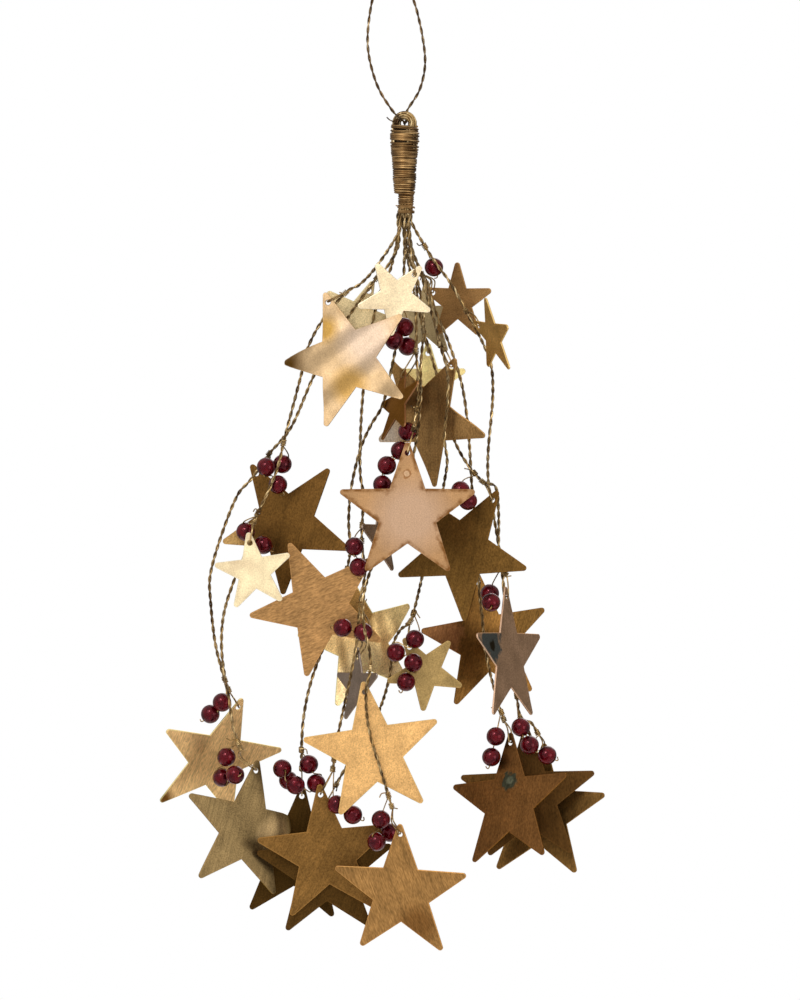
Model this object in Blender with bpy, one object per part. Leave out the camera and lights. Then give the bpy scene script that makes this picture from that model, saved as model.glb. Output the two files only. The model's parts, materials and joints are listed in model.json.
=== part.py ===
"""Beaded star cluster: brass stars and glass beads on twisted wire below a wound neck and a loop."""

import math
from collections import namedtuple

import bmesh
import bpy
from mathutils import Matrix, Vector
from mathutils.geometry import tessellate_polygon

MM = 0.001

# Driving dimensions
WIRE_D = 0.6 * MM
STRAND_D = 2.0 * WIRE_D
GAP = 0.3 * MM
LARGE_STAR_R = 24.0 * MM
SMALL_STAR_R = 13.5 * MM
STAR_SHEET = 0.6 * MM
STAR_INNER_RATIO = 0.43
STAR_TIP_ROUND = 1.0 * MM
STAR_HOLE_D = 1.8 * MM
HOLE_FROM_TIP = 3.6 * MM
BEAD_D = 6.4 * MM
LOOP_DROP = 50.0 * MM
LOOP_LEFT = 8.5 * MM
LOOP_RIGHT = 11.0 * MM
EYE_X = 4.0 * MM
EYE_HOLE_D = 2.4 * MM
EYE_BUNDLE_D = 3.0 * MM
NECK_TOP_D = 9.4 * MM
NECK_WAIST_D = 7.4 * MM
NECK_FOOT_D = 5.0 * MM
NECK_WAIST_PART = 0.78
NECK_SHOULDER_PART = 0.15
NECK_RIM_RATIO = 0.88
WINDING_D = 0.6 * MM
WINDING_TURNS = 24
WINDING_GAP = 0.45 * MM
COLLAR_LENGTH = 1.6 * MM
EYE_ROOM = 1.2 * MM

# Dimensions that follow from them
EYE_R = (EYE_HOLE_D + EYE_BUNDLE_D) / 2.0
EYE_Z = -LOOP_DROP
WINDING_PITCH = WINDING_D + WINDING_GAP
WINDING_LENGTH = WINDING_TURNS * WINDING_PITCH
NECK_TOP_Z = EYE_Z - EYE_HOLE_D / 2.0 - 0.4 * MM
NECK_FOOT_Z = NECK_TOP_Z - EYE_ROOM - WINDING_LENGTH - WINDING_D - 2.0 * GAP
NECK_END_Z = NECK_FOOT_Z - COLLAR_LENGTH
STRAND_SPACING = STRAND_D + GAP
COLLAR_R = 2.0 * STRAND_SPACING
HANGER_CLEAR = STAR_SHEET / 2.0 + GAP + WIRE_D / 2.0 + 0.1 * MM
SMALL, LARGE = SMALL_STAR_R, LARGE_STAR_R

WINDING_POINTS = 10
STRAND_STEPS = 2
NECK_SEGMENTS = 12
HOLE_SEGMENTS = 6
BEAD_SEGMENTS = 8
BEAD_RINGS = 5
CURL_CUTS = 4

# Shares of the way from the hole up to the strand where a hanger is guided, and its width at the hole
HANGER_LEGS = (0.15, 0.66)
HANGER_CROSSING = 0.7

Star = namedtuple("Star", "name radius wire tilt yaw pitch")
Hang = namedtuple("Hang", "star apex")
Sprig = namedtuple("Sprig", "name strand start beads")
Curl = namedtuple("Curl", "angle start radius side")

# Stars: where the hanger wire passes through the hole, in millimetres from the foot of the neck,
# with +X right, -Y towards the front and +Z up, then tilt in the star's plane, yaw and pitch in degrees
STARS = [
    Star("star_01", SMALL, (3.5, -11.5, -20.5), tilt=-39, yaw=16, pitch=12),
    Star("star_02", SMALL, (-12.0, -6.0, -26.0), tilt=-23, yaw=0, pitch=0),
    Star("star_03", LARGE, (-26.0, -13.5, -30.0), tilt=20, yaw=-14, pitch=-6),
    Star("star_04", SMALL, (9.5, 12.5, -26.5), tilt=71, yaw=-28, pitch=3),
    Star("star_05", SMALL, (25.0, -1.5, -38.0), tilt=68, yaw=-64, pitch=14),
    Star("star_06", SMALL, (7.5, 17.0, -25.5), tilt=0, yaw=-30, pitch=0),
    Star("star_07", SMALL, (8.0, 12.5, -47.0), tilt=0, yaw=6, pitch=0),
    Star("star_08", SMALL, (-0.5, -4.0, -55.5), tilt=18, yaw=-66, pitch=-19),
    Star("star_09", LARGE, (16.0, -11.5, -52.0), tilt=-34, yaw=-34, pitch=8),
    Star("star_10", LARGE, (-50.5, 6.5, -88.0), tilt=33, yaw=-20, pitch=-1),
    Star("star_11", SMALL, (-52.5, -11.0, -111.5), tilt=8, yaw=0, pitch=0),
    Star("star_12", LARGE, (-14.0, -6.5, -119.5), tilt=-47, yaw=-6, pitch=4),
    Star("star_13", LARGE, (1.0, -21.0, -81.0), tilt=0, yaw=0, pitch=0),
    Star("star_14", LARGE, (30.0, -5.5, -97.0), tilt=-33, yaw=-18, pitch=0),
    Star("star_15", SMALL, (-8.0, -4.0, -100.0), tilt=0, yaw=60, pitch=0),
    Star("star_16", LARGE, (25.0, 15.0, -125.0), tilt=9, yaw=22, pitch=2),
    Star("star_17", LARGE, (34.5, -4.0, -130.0), tilt=-1, yaw=62, pitch=-4),
    Star("star_18", LARGE, (-19.0, 13.0, -125.0), tilt=13, yaw=26, pitch=-1),
    Star("star_19", SMALL, (1.5, 0.5, -147.0), tilt=32, yaw=8, pitch=-8),
    Star("star_20", SMALL, (-16.0, -3.0, -150.5), tilt=0, yaw=-58, pitch=0),
    Star("star_21", LARGE, (-13.5, -18.0, -162.0), tilt=8, yaw=0, pitch=0),
    Star("star_22", LARGE, (-56.5, -1.0, -167.5), tilt=-10, yaw=26, pitch=29),
    Star("star_23", LARGE, (-50.5, 0.0, -189.0), tilt=-12, yaw=25, pitch=-4),
    Star("star_24", LARGE, (-35.0, 17.0, -198.0), tilt=-5, yaw=0, pitch=0),
    Star("star_25", LARGE, (-28.5, -9.5, -197.0), tilt=6, yaw=3, pitch=5),
    Star("star_26", LARGE, (-28.0, -4.5, -202.5), tilt=3, yaw=0, pitch=0),
    Star("star_27", LARGE, (-1.5, -27.0, -210.0), tilt=-3, yaw=-15, pitch=14),
    Star("star_28", LARGE, (36.0, -5.0, -179.5), tilt=6, yaw=-34, pitch=-11),
    Star("star_29", LARGE, (41.5, 7.0, -177.5), tilt=2, yaw=-7, pitch=-2),
    Star("star_30", LARGE, (47.5, 14.0, -183.5), tilt=-2, yaw=-20, pitch=-5),
]

# Arms bent out of the plane: direction in the star, start of the bend and its radius in millimetres
CURLS = {
    "star_03": Curl(162, 9.0, 24.0, 1),
    "star_09": Curl(198, 6.0, 30.0, 1),
    "star_18": Curl(18, 8.0, 30.0, 1),
    "star_23": Curl(18, 6.0, 30.0, 1),
}

# Where each strand leaves the neck, in strand spacings
EXITS = {
    "strand_a": (-1.0, -0.9),
    "strand_e": (0.0, -0.9),
    "strand_f": (1.0, -0.9),
    "strand_b": (-1.5, 0.0),
    "strand_d": (-0.5, 0.0),
    "strand_g": (0.5, 0.0),
    "strand_j": (1.5, 0.0),
    "strand_c": (-1.0, 0.9),
    "strand_i": (0.0, 0.9),
    "strand_h": (1.0, 0.9),
}

# Strand routes, in millimetres from the foot of the neck
ROUTES = {
    "strand_a": [
        (-2.0, -3.0, -6.5),
        (-9.5, -9.0, -18.0),
        (-15.0, -13.0, -24.0),
        Hang("star_03", (-20.0, -14.0, -27.0)),
        (-28.0, -11.0, -36.5),
        (-33.0, -8.5, -46.0),
        (-35.0, -8.5, -54.5),
        (-40.5, -9.0, -75.5),
        (-43.0, -8.5, -86.0),
        (-47.0, -7.0, -96.0),
        Hang("star_11", (-51.0, -8.0, -104.5)),
        (-53.0, -6.0, -113.0),
        (-57.5, -5.0, -123.5),
        (-61.5, -4.0, -136.5),
        (-62.0, -4.0, -150.0),
        (-59.5, -9.0, -165.0),
        (-58.0, -11.0, -175.0),
        Hang("star_23", (-55.5, -10.0, -182.0)),
    ],
    "strand_b": [
        (-2.0, -3.0, -10.5),
        (-5.5, -8.5, -17.5),
        Hang("star_02", (-9.5, -9.0, -22.0)),
        (-18.0, -10.5, -33.5),
        (-25.5, -11.0, -45.5),
        (-31.0, -10.0, -55.5),
        (-38.5, -5.5, -72.5),
        Hang("star_10", (-46.0, -1.0, -81.5)),
        (-52.0, 0.0, -90.0),
        (-57.0, -1.0, -96.0),
        (-62.5, -1.5, -110.0),
        (-66.0, -1.0, -122.5),
        (-66.0, 0.0, -131.0),
        (-64.5, 0.0, -145.0),
        (-62.0, 0.0, -155.5),
        Hang("star_22", (-59.5, 0.0, -162.5)),
    ],
    "strand_c": [
        (-2.5, 0.5, -9.0),
        (-3.5, -2.5, -14.0),
        (-5.0, -6.0, -19.5),
        (-8.5, -8.5, -27.5),
        (-11.5, -9.5, -41.0),
        (-14.0, -9.0, -60.0),
        (-15.0, -9.0, -77.0),
        (-15.0, -9.0, -88.5),
        Hang("star_15", (-14.0, -9.0, -96.0)),
        Hang("star_12", (-14.5, -10.0, -111.0)),
        (-13.5, -11.0, -122.5),
        (-15.0, -11.0, -131.0),
        Hang("star_20", (-16.0, -11.0, -143.5)),
        (-17.5, -11.0, -153.0),
        (-20.0, -13.0, -165.0),
        (-23.0, -13.0, -179.0),
        Hang("star_25", (-24.5, -10.0, -189.5)),
    ],
    "strand_d": [
        (0.0, 0.0, -10.5),
        (-0.5, 0.0, -26.0),
        (-2.0, 1.5, -39.5),
        (-4.5, 1.0, -53.0),
        (-7.5, 1.0, -65.0),
        (-11.5, -2.0, -72.0),
        (-15.0, -4.0, -80.0),
        (-18.0, -5.0, -92.5),
        (-19.0, -3.0, -104.0),
        (-18.5, -2.5, -113.0),
        Hang("star_18", (-19.5, 4.5, -120.5)),
        (-23.5, 3.0, -136.5),
        (-31.0, 0.0, -156.5),
        (-34.0, 0.0, -169.0),
        (-35.0, 0.0, -180.5),
        Hang("star_24", (-35.0, 9.0, -189.5)),
    ],
    "strand_e": [
        (0.5, -2.5, -9.0),
        Hang("star_01", (1.0, -7.0, -14.5)),
        (3.5, -6.5, -29.0),
        (4.0, -8.5, -39.5),
        Hang("star_08", (4.0, -9.0, -46.5)),
        (4.5, -10.0, -56.5),
        (4.5, -13.0, -65.0),
        Hang("star_13", (3.0, -18.0, -74.0)),
    ],
    "strand_f": [
        (1.5, -2.0, -10.5),
        (4.0, -4.5, -20.5),
        (6.5, -7.0, -36.0),
        (5.5, -8.0, -51.5),
        (5.5, -8.0, -63.0),
        (4.0, -10.0, -77.0),
        (0.0, -13.0, -94.0),
        (-6.5, -13.0, -109.0),
        (-11.5, -13.0, -121.0),
        (-14.0, -17.0, -131.0),
        (-13.5, -20.5, -141.0),
        (-12.0, -21.0, -147.5),
        Hang("star_21", (-11.5, -20.5, -154.0)),
        (-13.0, -21.5, -162.5),
        (-12.0, -21.5, -175.0),
        (-7.5, -21.5, -190.5),
        Hang("star_27", (-4.0, -22.0, -202.0)),
    ],
    "strand_g": [
        (2.0, 0.0, -11.0),
        (5.5, 1.5, -20.0),
        (8.5, 0.0, -31.0),
        (10.5, -5.0, -38.0),
        Hang("star_09", (12.0, -11.0, -44.5)),
        (14.5, -13.0, -53.5),
        (14.5, -12.5, -65.0),
        (13.5, -10.0, -76.0),
        (14.5, -9.5, -84.0),
        (13.5, -8.0, -91.0),
        (12.5, -1.5, -95.5),
        (10.5, 6.5, -100.0),
        (6.5, 8.5, -121.0),
        (4.0, 2.0, -132.0),
        Hang("star_19", (2.0, -2.5, -138.5)),
        (-1.5, 1.0, -141.5),
        (-4.0, 5.0, -147.0),
        (-5.0, 5.0, -157.0),
        (-8.5, -4.0, -168.5),
        (-15.0, -9.0, -180.5),
        (-20.5, -9.0, -189.0),
        Hang("star_26", (-23.5, -7.0, -194.5)),
    ],
    "strand_h": [
        (2.5, 2.5, -11.5),
        Hang("star_04", (6.0, 5.0, -20.5)),
        (11.0, 2.5, -34.0),
        (15.5, 2.0, -45.0),
        (19.5, 1.5, -58.0),
        (21.5, 1.5, -71.5),
        (22.5, 2.0, -85.5),
        (23.0, 4.0, -94.0),
        (24.0, 9.0, -105.5),
        Hang("star_16", (25.0, 14.0, -117.5)),
        (25.5, 12.0, -128.0),
        (26.5, 8.0, -138.0),
        (27.5, 7.0, -148.0),
        (29.0, 5.0, -155.5),
        (31.5, -2.0, -165.0),
        Hang("star_28", (34.0, -5.0, -172.5)),
    ],
    "strand_i": [
        (1.0, 4.0, -13.0),
        Hang("star_06", (3.5, 8.0, -20.0)),
        (4.5, 8.0, -29.0),
        Hang("star_07", (6.5, 9.5, -39.5)),
        (11.0, 8.0, -54.5),
        (14.5, 5.0, -68.5),
        (17.0, 2.0, -77.0),
        (21.0, -2.0, -84.5),
        Hang("star_14", (26.5, -7.0, -91.0)),
        (31.0, -2.5, -93.0),
        (32.0, -1.0, -102.5),
        (32.0, 0.0, -112.5),
        (33.0, -3.0, -120.5),
        Hang("star_17", (34.5, -4.0, -122.5)),
    ],
    "strand_j": [
        (4.0, -0.5, -6.0),
        (8.5, 0.0, -13.5),
        (12.0, 0.5, -18.5),
        (16.0, 1.5, -24.0),
        Hang("star_05", (21.0, 2.0, -33.0)),
        (26.5, 4.0, -43.5),
        (29.5, 4.0, -51.5),
        (30.0, 4.0, -63.0),
        (28.5, 3.5, -80.0),
        (28.5, 4.0, -90.5),
        (30.0, 4.0, -100.5),
        (32.0, 4.5, -112.5),
        (33.5, 4.0, -124.5),
        (35.5, 8.0, -145.0),
        (36.0, 9.0, -155.0),
        (38.0, 8.0, -162.5),
        Hang("star_29", (39.5, 4.0, -171.5)),
        (43.0, 8.5, -173.0),
        Hang("star_30", (45.5, 10.0, -177.0)),
    ],
}

# Bead sprigs: the place on the strand that holds it, then the bead centres
SPRIGS = [
    Sprig("bead_sprig_01", "strand_j", (7.0, 0.0, -11.0), [(10.0, 5.0, -18.0)]),
    Sprig(
        "bead_sprig_02", "strand_d", (-1.0, 0.0, -31.5),
        [(0.0, -3.0, -38.5), (-3.5, -5.5, -43.0), (1.0, -0.5, -45.0)],
    ),
    Sprig(
        "bead_sprig_03", "strand_a", (-41.0, -9.0, -77.0),
        [(-41.5, -1.0, -85.0), (-47.0, -5.0, -86.0), (-43.0, -4.0, -92.0)],
    ),
    Sprig(
        "bead_sprig_04", "strand_a", (-50.0, -8.0, -101.5),
        [(-54.0, -2.5, -108.0), (-48.0, -2.5, -112.5)],
    ),
    Sprig(
        "bead_sprig_05", "strand_e", (4.5, -14.0, -66.5),
        [(1.0, -12.0, -74.0), (-1.5, -13.0, -80.5), (-6.0, -13.0, -85.5), (-7.5, -13.0, -92.0)],
    ),
    Sprig(
        "bead_sprig_06", "strand_c", (-14.5, -10.0, -105.5),
        [(-17.0, -15.0, -113.0), (-15.5, -15.5, -120.0)],
    ),
    Sprig(
        "bead_sprig_07", "strand_c", (-15.0, -11.0, -132.5),
        [(-14.0, -16.0, -142.0), (-21.0, -14.5, -140.5)],
    ),
    Sprig(
        "bead_sprig_08", "strand_g", (3.0, -1.0, -135.5),
        [(3.5, -6.5, -144.5), (-3.0, -7.0, -149.0), (3.0, -8.0, -152.5), (0.5, -7.5, -159.0)],
    ),
    Sprig("bead_sprig_09", "strand_i", (33.0, -3.0, -119.5), [(29.0, 0.5, -129.0), (29.0, -6.0, -132.0)]),
    Sprig(
        "bead_sprig_10", "strand_b", (-61.5, 0.0, -158.0),
        [(-62.0, -4.5, -166.0), (-66.0, -2.0, -170.0)],
    ),
    Sprig(
        "bead_sprig_11", "strand_a", (-56.5, -12.0, -179.5),
        [(-60.5, -7.0, -184.5), (-62.0, -4.5, -191.5), (-57.5, -10.5, -190.5)],
    ),
    Sprig(
        "bead_sprig_12", "strand_d", (-35.0, 0.0, -182.0),
        [
            (-32.5, -5.0, -187.0), (-30.0, -4.5, -193.5), (-37.0, -8.0, -194.0),
            (-41.5, -6.0, -188.5), (-39.5, -0.5, -192.5),
        ],
    ),
    Sprig(
        "bead_sprig_13", "strand_c", (-23.5, -12.0, -184.5),
        [(-23.0, -13.5, -200.5), (-17.5, -13.5, -204.0)],
    ),
    Sprig(
        "bead_sprig_14", "strand_f", (-5.5, -22.0, -197.5),
        [(-8.0, -19.0, -205.5), (-9.5, -19.0, -213.0), (-5.0, -14.0, -210.0)],
    ),
    Sprig("bead_sprig_15", "strand_h", (32.5, -3.0, -169.5), [(31.0, -7.0, -177.5), (29.5, -7.0, -184.5)]),
    Sprig(
        "bead_sprig_16", "strand_j", (38.0, 7.5, -165.0),
        [(39.5, -2.0, -174.5), (42.5, -2.5, -180.5), (48.5, -1.5, -184.0)],
    ),
    Sprig("bead_sprig_17", "strand_i", (24.0, -5.0, -89.0), [(19.0, -13.0, -94.0), (21.5, -7.5, -97.5)]),
]

FOOT = Vector((EYE_X, 0.0, NECK_END_Z))


def clear_scene():
    for obj in list(bpy.data.objects):
        bpy.data.objects.remove(obj, do_unlink=True)


def make_collection(name, hidden=False):
    collection = bpy.data.collections.new(name)
    bpy.context.scene.collection.children.link(collection)
    collection.hide_render = hidden
    return collection


def make_material(name, colour, metallic, roughness):
    material = bpy.data.materials.new(name)
    material.use_nodes = True
    shader = material.node_tree.nodes["Principled BSDF"]
    shader.inputs["Base Color"].default_value = (*colour, 1.0)
    shader.inputs["Metallic"].default_value = metallic
    shader.inputs["Roughness"].default_value = roughness
    return material


def from_foot(place):
    """Turn a place in millimetres from the foot of the neck into a place in the model."""
    return FOOT + Vector(place) * MM


def smooth(points, steps, closed=False):
    """Pass a smooth line through the points."""
    count = len(points)
    line = []
    spans = count if closed else count - 1
    for i in range(spans):
        if closed:
            before, here, there, after = (points[(i + k) % count] for k in (-1, 0, 1, 2))
        else:
            before = points[max(i - 1, 0)]
            here = points[i]
            there = points[i + 1]
            after = points[min(i + 2, count - 1)]
        for k in range(steps):
            t = k / steps
            pull = (there - before) * t + (2 * before - 5 * here + 4 * there - after) * t ** 2
            turn = (3 * here - before - 3 * there + after) * t ** 3
            line.append(here + 0.5 * (pull + turn))
    if not closed:
        line.append(points[-1].copy())
    return line


def thin_out(line, slack):
    """Leave out points that lie almost on the line between their neighbours."""
    kept = [line[0]]
    for here, there in zip(line[1:], line[2:]):
        span = there - kept[-1]
        off = (here - kept[-1]) - span * ((here - kept[-1]).dot(span) / span.length_squared)
        if off.length > slack:
            kept.append(here)
    kept.append(line[-1])
    return kept


def finish_mesh(name, bm, collection, material):
    bmesh.ops.remove_doubles(bm, verts=bm.verts, dist=1e-6)
    bmesh.ops.recalc_face_normals(bm, faces=bm.faces)
    mesh = bpy.data.meshes.new(name)
    bm.to_mesh(mesh)
    bm.free()
    obj = bpy.data.objects.new(name, mesh)
    collection.objects.link(obj)
    if material:
        mesh.materials.append(material)
    return obj


def tube_mesh(points, diameter, resolution, closed=False):
    """A round wire along the points."""
    curve = bpy.data.curves.new("wire", "CURVE")
    curve.dimensions = "3D"
    curve.bevel_depth = diameter / 2.0
    curve.bevel_resolution = resolution
    curve.use_fill_caps = not closed
    spline = curve.splines.new("POLY")
    spline.points.add(len(points) - 1)
    for point, place in zip(spline.points, points):
        point.co = (*place, 1.0)
    spline.use_cyclic_u = closed
    holder = bpy.data.objects.new("wire", curve)
    bpy.context.scene.collection.objects.link(holder)
    graph = bpy.context.evaluated_depsgraph_get()
    mesh = bpy.data.meshes.new_from_object(holder.evaluated_get(graph))
    bpy.data.objects.remove(holder, do_unlink=True)
    bm = bmesh.new()
    bm.from_mesh(mesh)
    bpy.data.meshes.remove(mesh)
    return bm


def add_tube(bm, points, diameter, resolution, closed=False):
    """Add another wire to a mesh that is being built."""
    extra = tube_mesh(points, diameter, resolution, closed)
    mesh = bpy.data.meshes.new("extra")
    extra.to_mesh(mesh)
    extra.free()
    bm.from_mesh(mesh)
    bpy.data.meshes.remove(mesh)


def join_with(obj, other):
    """Fuse a helper solid to a piece."""
    other.display_type = "WIRE"
    other.hide_render = True
    fuse = obj.modifiers.new("fuse", "BOOLEAN")
    fuse.operation = "UNION"
    fuse.solver = "EXACT"
    fuse.object = other


def turned_ring(bm, profile, segments):
    """Turn a closed profile of (radius, z) pairs about the neck's own axis."""
    rows = []
    for radius, z in profile:
        row = []
        for k in range(segments):
            turn = math.tau * k / segments
            row.append(bm.verts.new((EYE_X + radius * math.cos(turn), radius * math.sin(turn), z)))
        rows.append(row)
    for low, high in zip(rows, rows[1:]):
        for k in range(segments):
            n = (k + 1) % segments
            bm.faces.new((low[k], low[n], high[n], high[k]))
    bm.faces.new(list(reversed(rows[0])))
    bm.faces.new(rows[-1])


def winding_radius(part):
    """Radius of the winding's centre line; part runs from 0 at the top of the neck to 1 at its foot."""
    outer = [
        (0.0, NECK_RIM_RATIO * NECK_TOP_D / 2.0),
        (NECK_SHOULDER_PART, NECK_TOP_D / 2.0),
        (NECK_WAIST_PART, NECK_WAIST_D / 2.0),
        (NECK_WAIST_PART + 0.05, NECK_FOOT_D / 2.0),
        (1.0, NECK_FOOT_D / 2.0),
    ]
    for (p0, r0), (p1, r1) in zip(outer, outer[1:]):
        if part <= p1:
            return r0 + (r1 - r0) * (part - p0) / (p1 - p0) - WINDING_D / 2.0
    return outer[-1][1] - WINDING_D / 2.0


def winding_line():
    """One unbroken wire wound down the neck, straight for one diameter at each end."""
    total = WINDING_TURNS * WINDING_POINTS
    top = NECK_TOP_Z - EYE_ROOM - WINDING_D / 2.0
    line = []
    for k in range(total + 1):
        part = k / total
        turn = math.tau * k / WINDING_POINTS
        radius = winding_radius(part)
        place = (EYE_X + radius * math.cos(turn), radius * math.sin(turn), top - WINDING_LENGTH * part)
        line.append(Vector(place))
    first = (line[0] - line[1]).normalized() * WINDING_D
    last = (line[-1] - line[-2]).normalized() * WINDING_D
    return [line[0] + first] + line + [line[-1] + last]


def least_gap(line):
    """Smallest open space between neighbouring turns, measured on the points."""
    least = math.inf
    for i, here in enumerate(line):
        for there in line[i + WINDING_POINTS // 2:i + 2 * WINDING_POINTS]:
            least = min(least, (here - there).length)
    return least - WINDING_D


def build_neck(parts, tools, brass, binding):
    """Neck: the bundled strand ends with the bent eye on top, and the wire wound round them."""
    core_in = WINDING_D / 2.0 + GAP + 0.2 * MM
    profile = [
        (winding_radius(0.0) - core_in, NECK_TOP_Z),
        (winding_radius(NECK_SHOULDER_PART) - core_in, NECK_TOP_Z - NECK_SHOULDER_PART * WINDING_LENGTH),
        (winding_radius(NECK_WAIST_PART) - core_in, NECK_TOP_Z - (NECK_WAIST_PART - 0.04) * WINDING_LENGTH),
        (winding_radius(1.0) - core_in, NECK_TOP_Z - (NECK_WAIST_PART - 0.01) * WINDING_LENGTH),
        (winding_radius(1.0) - core_in, NECK_FOOT_Z),
        (COLLAR_R, NECK_FOOT_Z),
        (COLLAR_R, NECK_END_Z),
    ]
    bm = bmesh.new()
    turned_ring(bm, profile, NECK_SEGMENTS)
    core = finish_mesh("neck_core", bm, parts, brass)

    leg_x = profile[0][0] - EYE_BUNDLE_D / 2.0
    leg_z = NECK_TOP_Z - EYE_ROOM - 1.0 * MM
    arch = [Vector((EYE_X - leg_x, 0.0, leg_z))]
    for k in range(9):
        turn = math.pi * (1.0 - k / 8.0)
        arch.append(Vector((EYE_X + EYE_R * math.cos(turn), 0.0, EYE_Z + EYE_R * math.sin(turn))))
    arch.append(Vector((EYE_X + leg_x, 0.0, leg_z)))
    eye = finish_mesh("neck_eye", tube_mesh(arch, EYE_BUNDLE_D, 2), tools, None)
    join_with(core, eye)

    line = winding_line()
    print("least gap in the winding, mm:", round(least_gap(line) / MM, 3))
    finish_mesh("binding_wire", tube_mesh(line, WINDING_D, 1), parts, binding)


def build_loop(parts, brass):
    """Hanging loop of twisted wire: the left leg enters the eye from the front, the right from behind."""
    rise = STRAND_D / 2.0
    side = EYE_BUNDLE_D / 2.0 + GAP + STRAND_D / 2.0 + 0.2 * MM
    drop = LOOP_DROP
    places = [
        (0.0, 0.0, rise),
        (-0.5 * LOOP_LEFT, 0.0, rise - 0.05 * drop),
        (-0.85 * LOOP_LEFT, 0.0, rise - 0.2 * drop),
        (-LOOP_LEFT, 0.0, -0.47 * drop),
        (-0.65 * LOOP_LEFT, -0.6 * side, -0.73 * drop),
        (EYE_X - 3.4 * MM, -side, -drop + 4.4 * MM),
        (EYE_X - 0.6 * MM, -side, -drop + 0.9 * MM),
        (EYE_X, -0.45 * side, -drop),
        (EYE_X, 0.45 * side, -drop),
        (EYE_X + 0.6 * MM, side, -drop + 0.9 * MM),
        (EYE_X + 2.6 * MM, side, -drop + 4.6 * MM),
        (0.85 * LOOP_RIGHT, 0.6 * side, -0.76 * drop),
        (LOOP_RIGHT, 0.0, -0.55 * drop),
        (0.75 * LOOP_RIGHT, 0.0, rise - 0.25 * drop),
        (0.4 * LOOP_RIGHT, 0.0, rise - 0.06 * drop),
    ]
    line = smooth([Vector(p) for p in places], 2, closed=True)
    finish_mesh("hanging_loop", tube_mesh(line, STRAND_D, 2, closed=True), parts, brass)


def star_turn(star):
    turn = Matrix.Rotation(math.radians(star.yaw), 4, "Z")
    turn = turn @ Matrix.Rotation(math.radians(star.pitch), 4, "X")
    return turn @ Matrix.Rotation(math.radians(-star.tilt), 4, "Y")


def star_outline(radius):
    """Five rounded tips with a plain notch between each pair, about the star's centre."""
    outline = []
    for k in range(5):
        aim = math.radians(90 + 72 * k)
        base = Vector((math.cos(aim), math.sin(aim))) * (radius - STAR_TIP_ROUND)
        for swing in (-65, 0, 65):
            turn = aim + math.radians(swing)
            outline.append(base + STAR_TIP_ROUND * Vector((math.cos(turn), math.sin(turn))))
        notch = aim + math.radians(36)
        outline.append(radius * STAR_INNER_RATIO * Vector((math.cos(notch), math.sin(notch))))
    return outline


def bend_arm(bm, curl):
    """Roll one side of a star out of its plane; the star lies in local XZ about its centre."""
    aim = math.radians(curl.angle)
    along = Vector((math.cos(aim), 0.0, math.sin(aim)))
    start = curl.start * MM
    radius = curl.radius * MM
    for k in range(CURL_CUTS):
        geometry = bm.verts[:] + bm.edges[:] + bm.faces[:]
        bmesh.ops.bisect_plane(bm, geom=geometry, plane_co=along * (start + k * 4.0 * MM), plane_no=along)
    for vert in bm.verts:
        reach = vert.co.dot(along) - start
        if reach > 0.0:
            turn = reach / radius
            depth = vert.co.y * curl.side
            moved = along * ((radius - depth) * math.sin(turn) - reach)
            vert.co = vert.co + moved
            vert.co.y = curl.side * (radius - (radius - depth) * math.cos(turn))


def build_star(star, parts, brass):
    """A flat star with its hole near the top tip; its origin is on the wire that carries it."""
    centre_drop = star.radius - HOLE_FROM_TIP
    seat = STAR_HOLE_D / 2.0 - WIRE_D / 2.0 - GAP
    outline = star_outline(star.radius)
    hole = []
    middle = Vector((0.0, centre_drop))
    for k in range(HOLE_SEGMENTS):
        turn = -math.tau * k / HOLE_SEGMENTS
        hole.append(middle + STAR_HOLE_D / 2.0 * Vector((math.cos(turn), math.sin(turn))))
    rings = [[Vector((p.x, p.y, 0.0)) for p in ring] for ring in (outline, hole)]
    flat = rings[0] + rings[1]
    bm = bmesh.new()
    half = STAR_SHEET / 2.0
    front = [bm.verts.new((p.x, -half, p.y)) for p in flat]
    back = [bm.verts.new((p.x, half, p.y)) for p in flat]
    for a, b, c in tessellate_polygon(rings):
        bm.faces.new((front[a], front[b], front[c]))
        bm.faces.new((back[c], back[b], back[a]))
    first = 0
    for ring in rings:
        for k in range(len(ring)):
            i = first + k
            j = first + (k + 1) % len(ring)
            bm.faces.new((front[i], front[j], back[j], back[i]))
        first += len(ring)
    if star.name in CURLS:
        bend_arm(bm, CURLS[star.name])
    bmesh.ops.translate(bm, verts=bm.verts, vec=(0.0, 0.0, -centre_drop - seat))
    obj = finish_mesh(star.name, bm, parts, brass)
    obj.matrix_world = Matrix.Translation(from_foot(star.wire)) @ star_turn(star)


def hanger_line(star, apex):
    """Closed wire from the strand through the star's hole: one leg before the sheet and one behind it."""
    wire = from_foot(star.wire)
    normal = star_turn(star).to_3x3() @ Vector((0.0, 1.0, 0.0))
    reach = apex - wire
    rise = reach - normal * reach.dot(normal)
    side = normal * HANGER_CLEAR
    line = [wire - HANGER_CROSSING * side, wire + HANGER_CROSSING * side]
    line += [wire + side + rise * part for part in HANGER_LEGS]
    line.append(apex)
    line += [wire - side + rise * part for part in reversed(HANGER_LEGS)]
    return line


def strand_line(name):
    exit_x, exit_y = EXITS[name]
    start = FOOT + Vector((exit_x, exit_y, 0.0)) * STRAND_SPACING - Vector((0.0, 0.0, GAP))
    places = [start, start - Vector((0.0, 0.0, 2.0 * MM))]
    for entry in ROUTES[name]:
        places.append(from_foot(entry.apex if isinstance(entry, Hang) else entry))
    return thin_out(smooth(places, STRAND_STEPS), 0.1 * MM)


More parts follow.
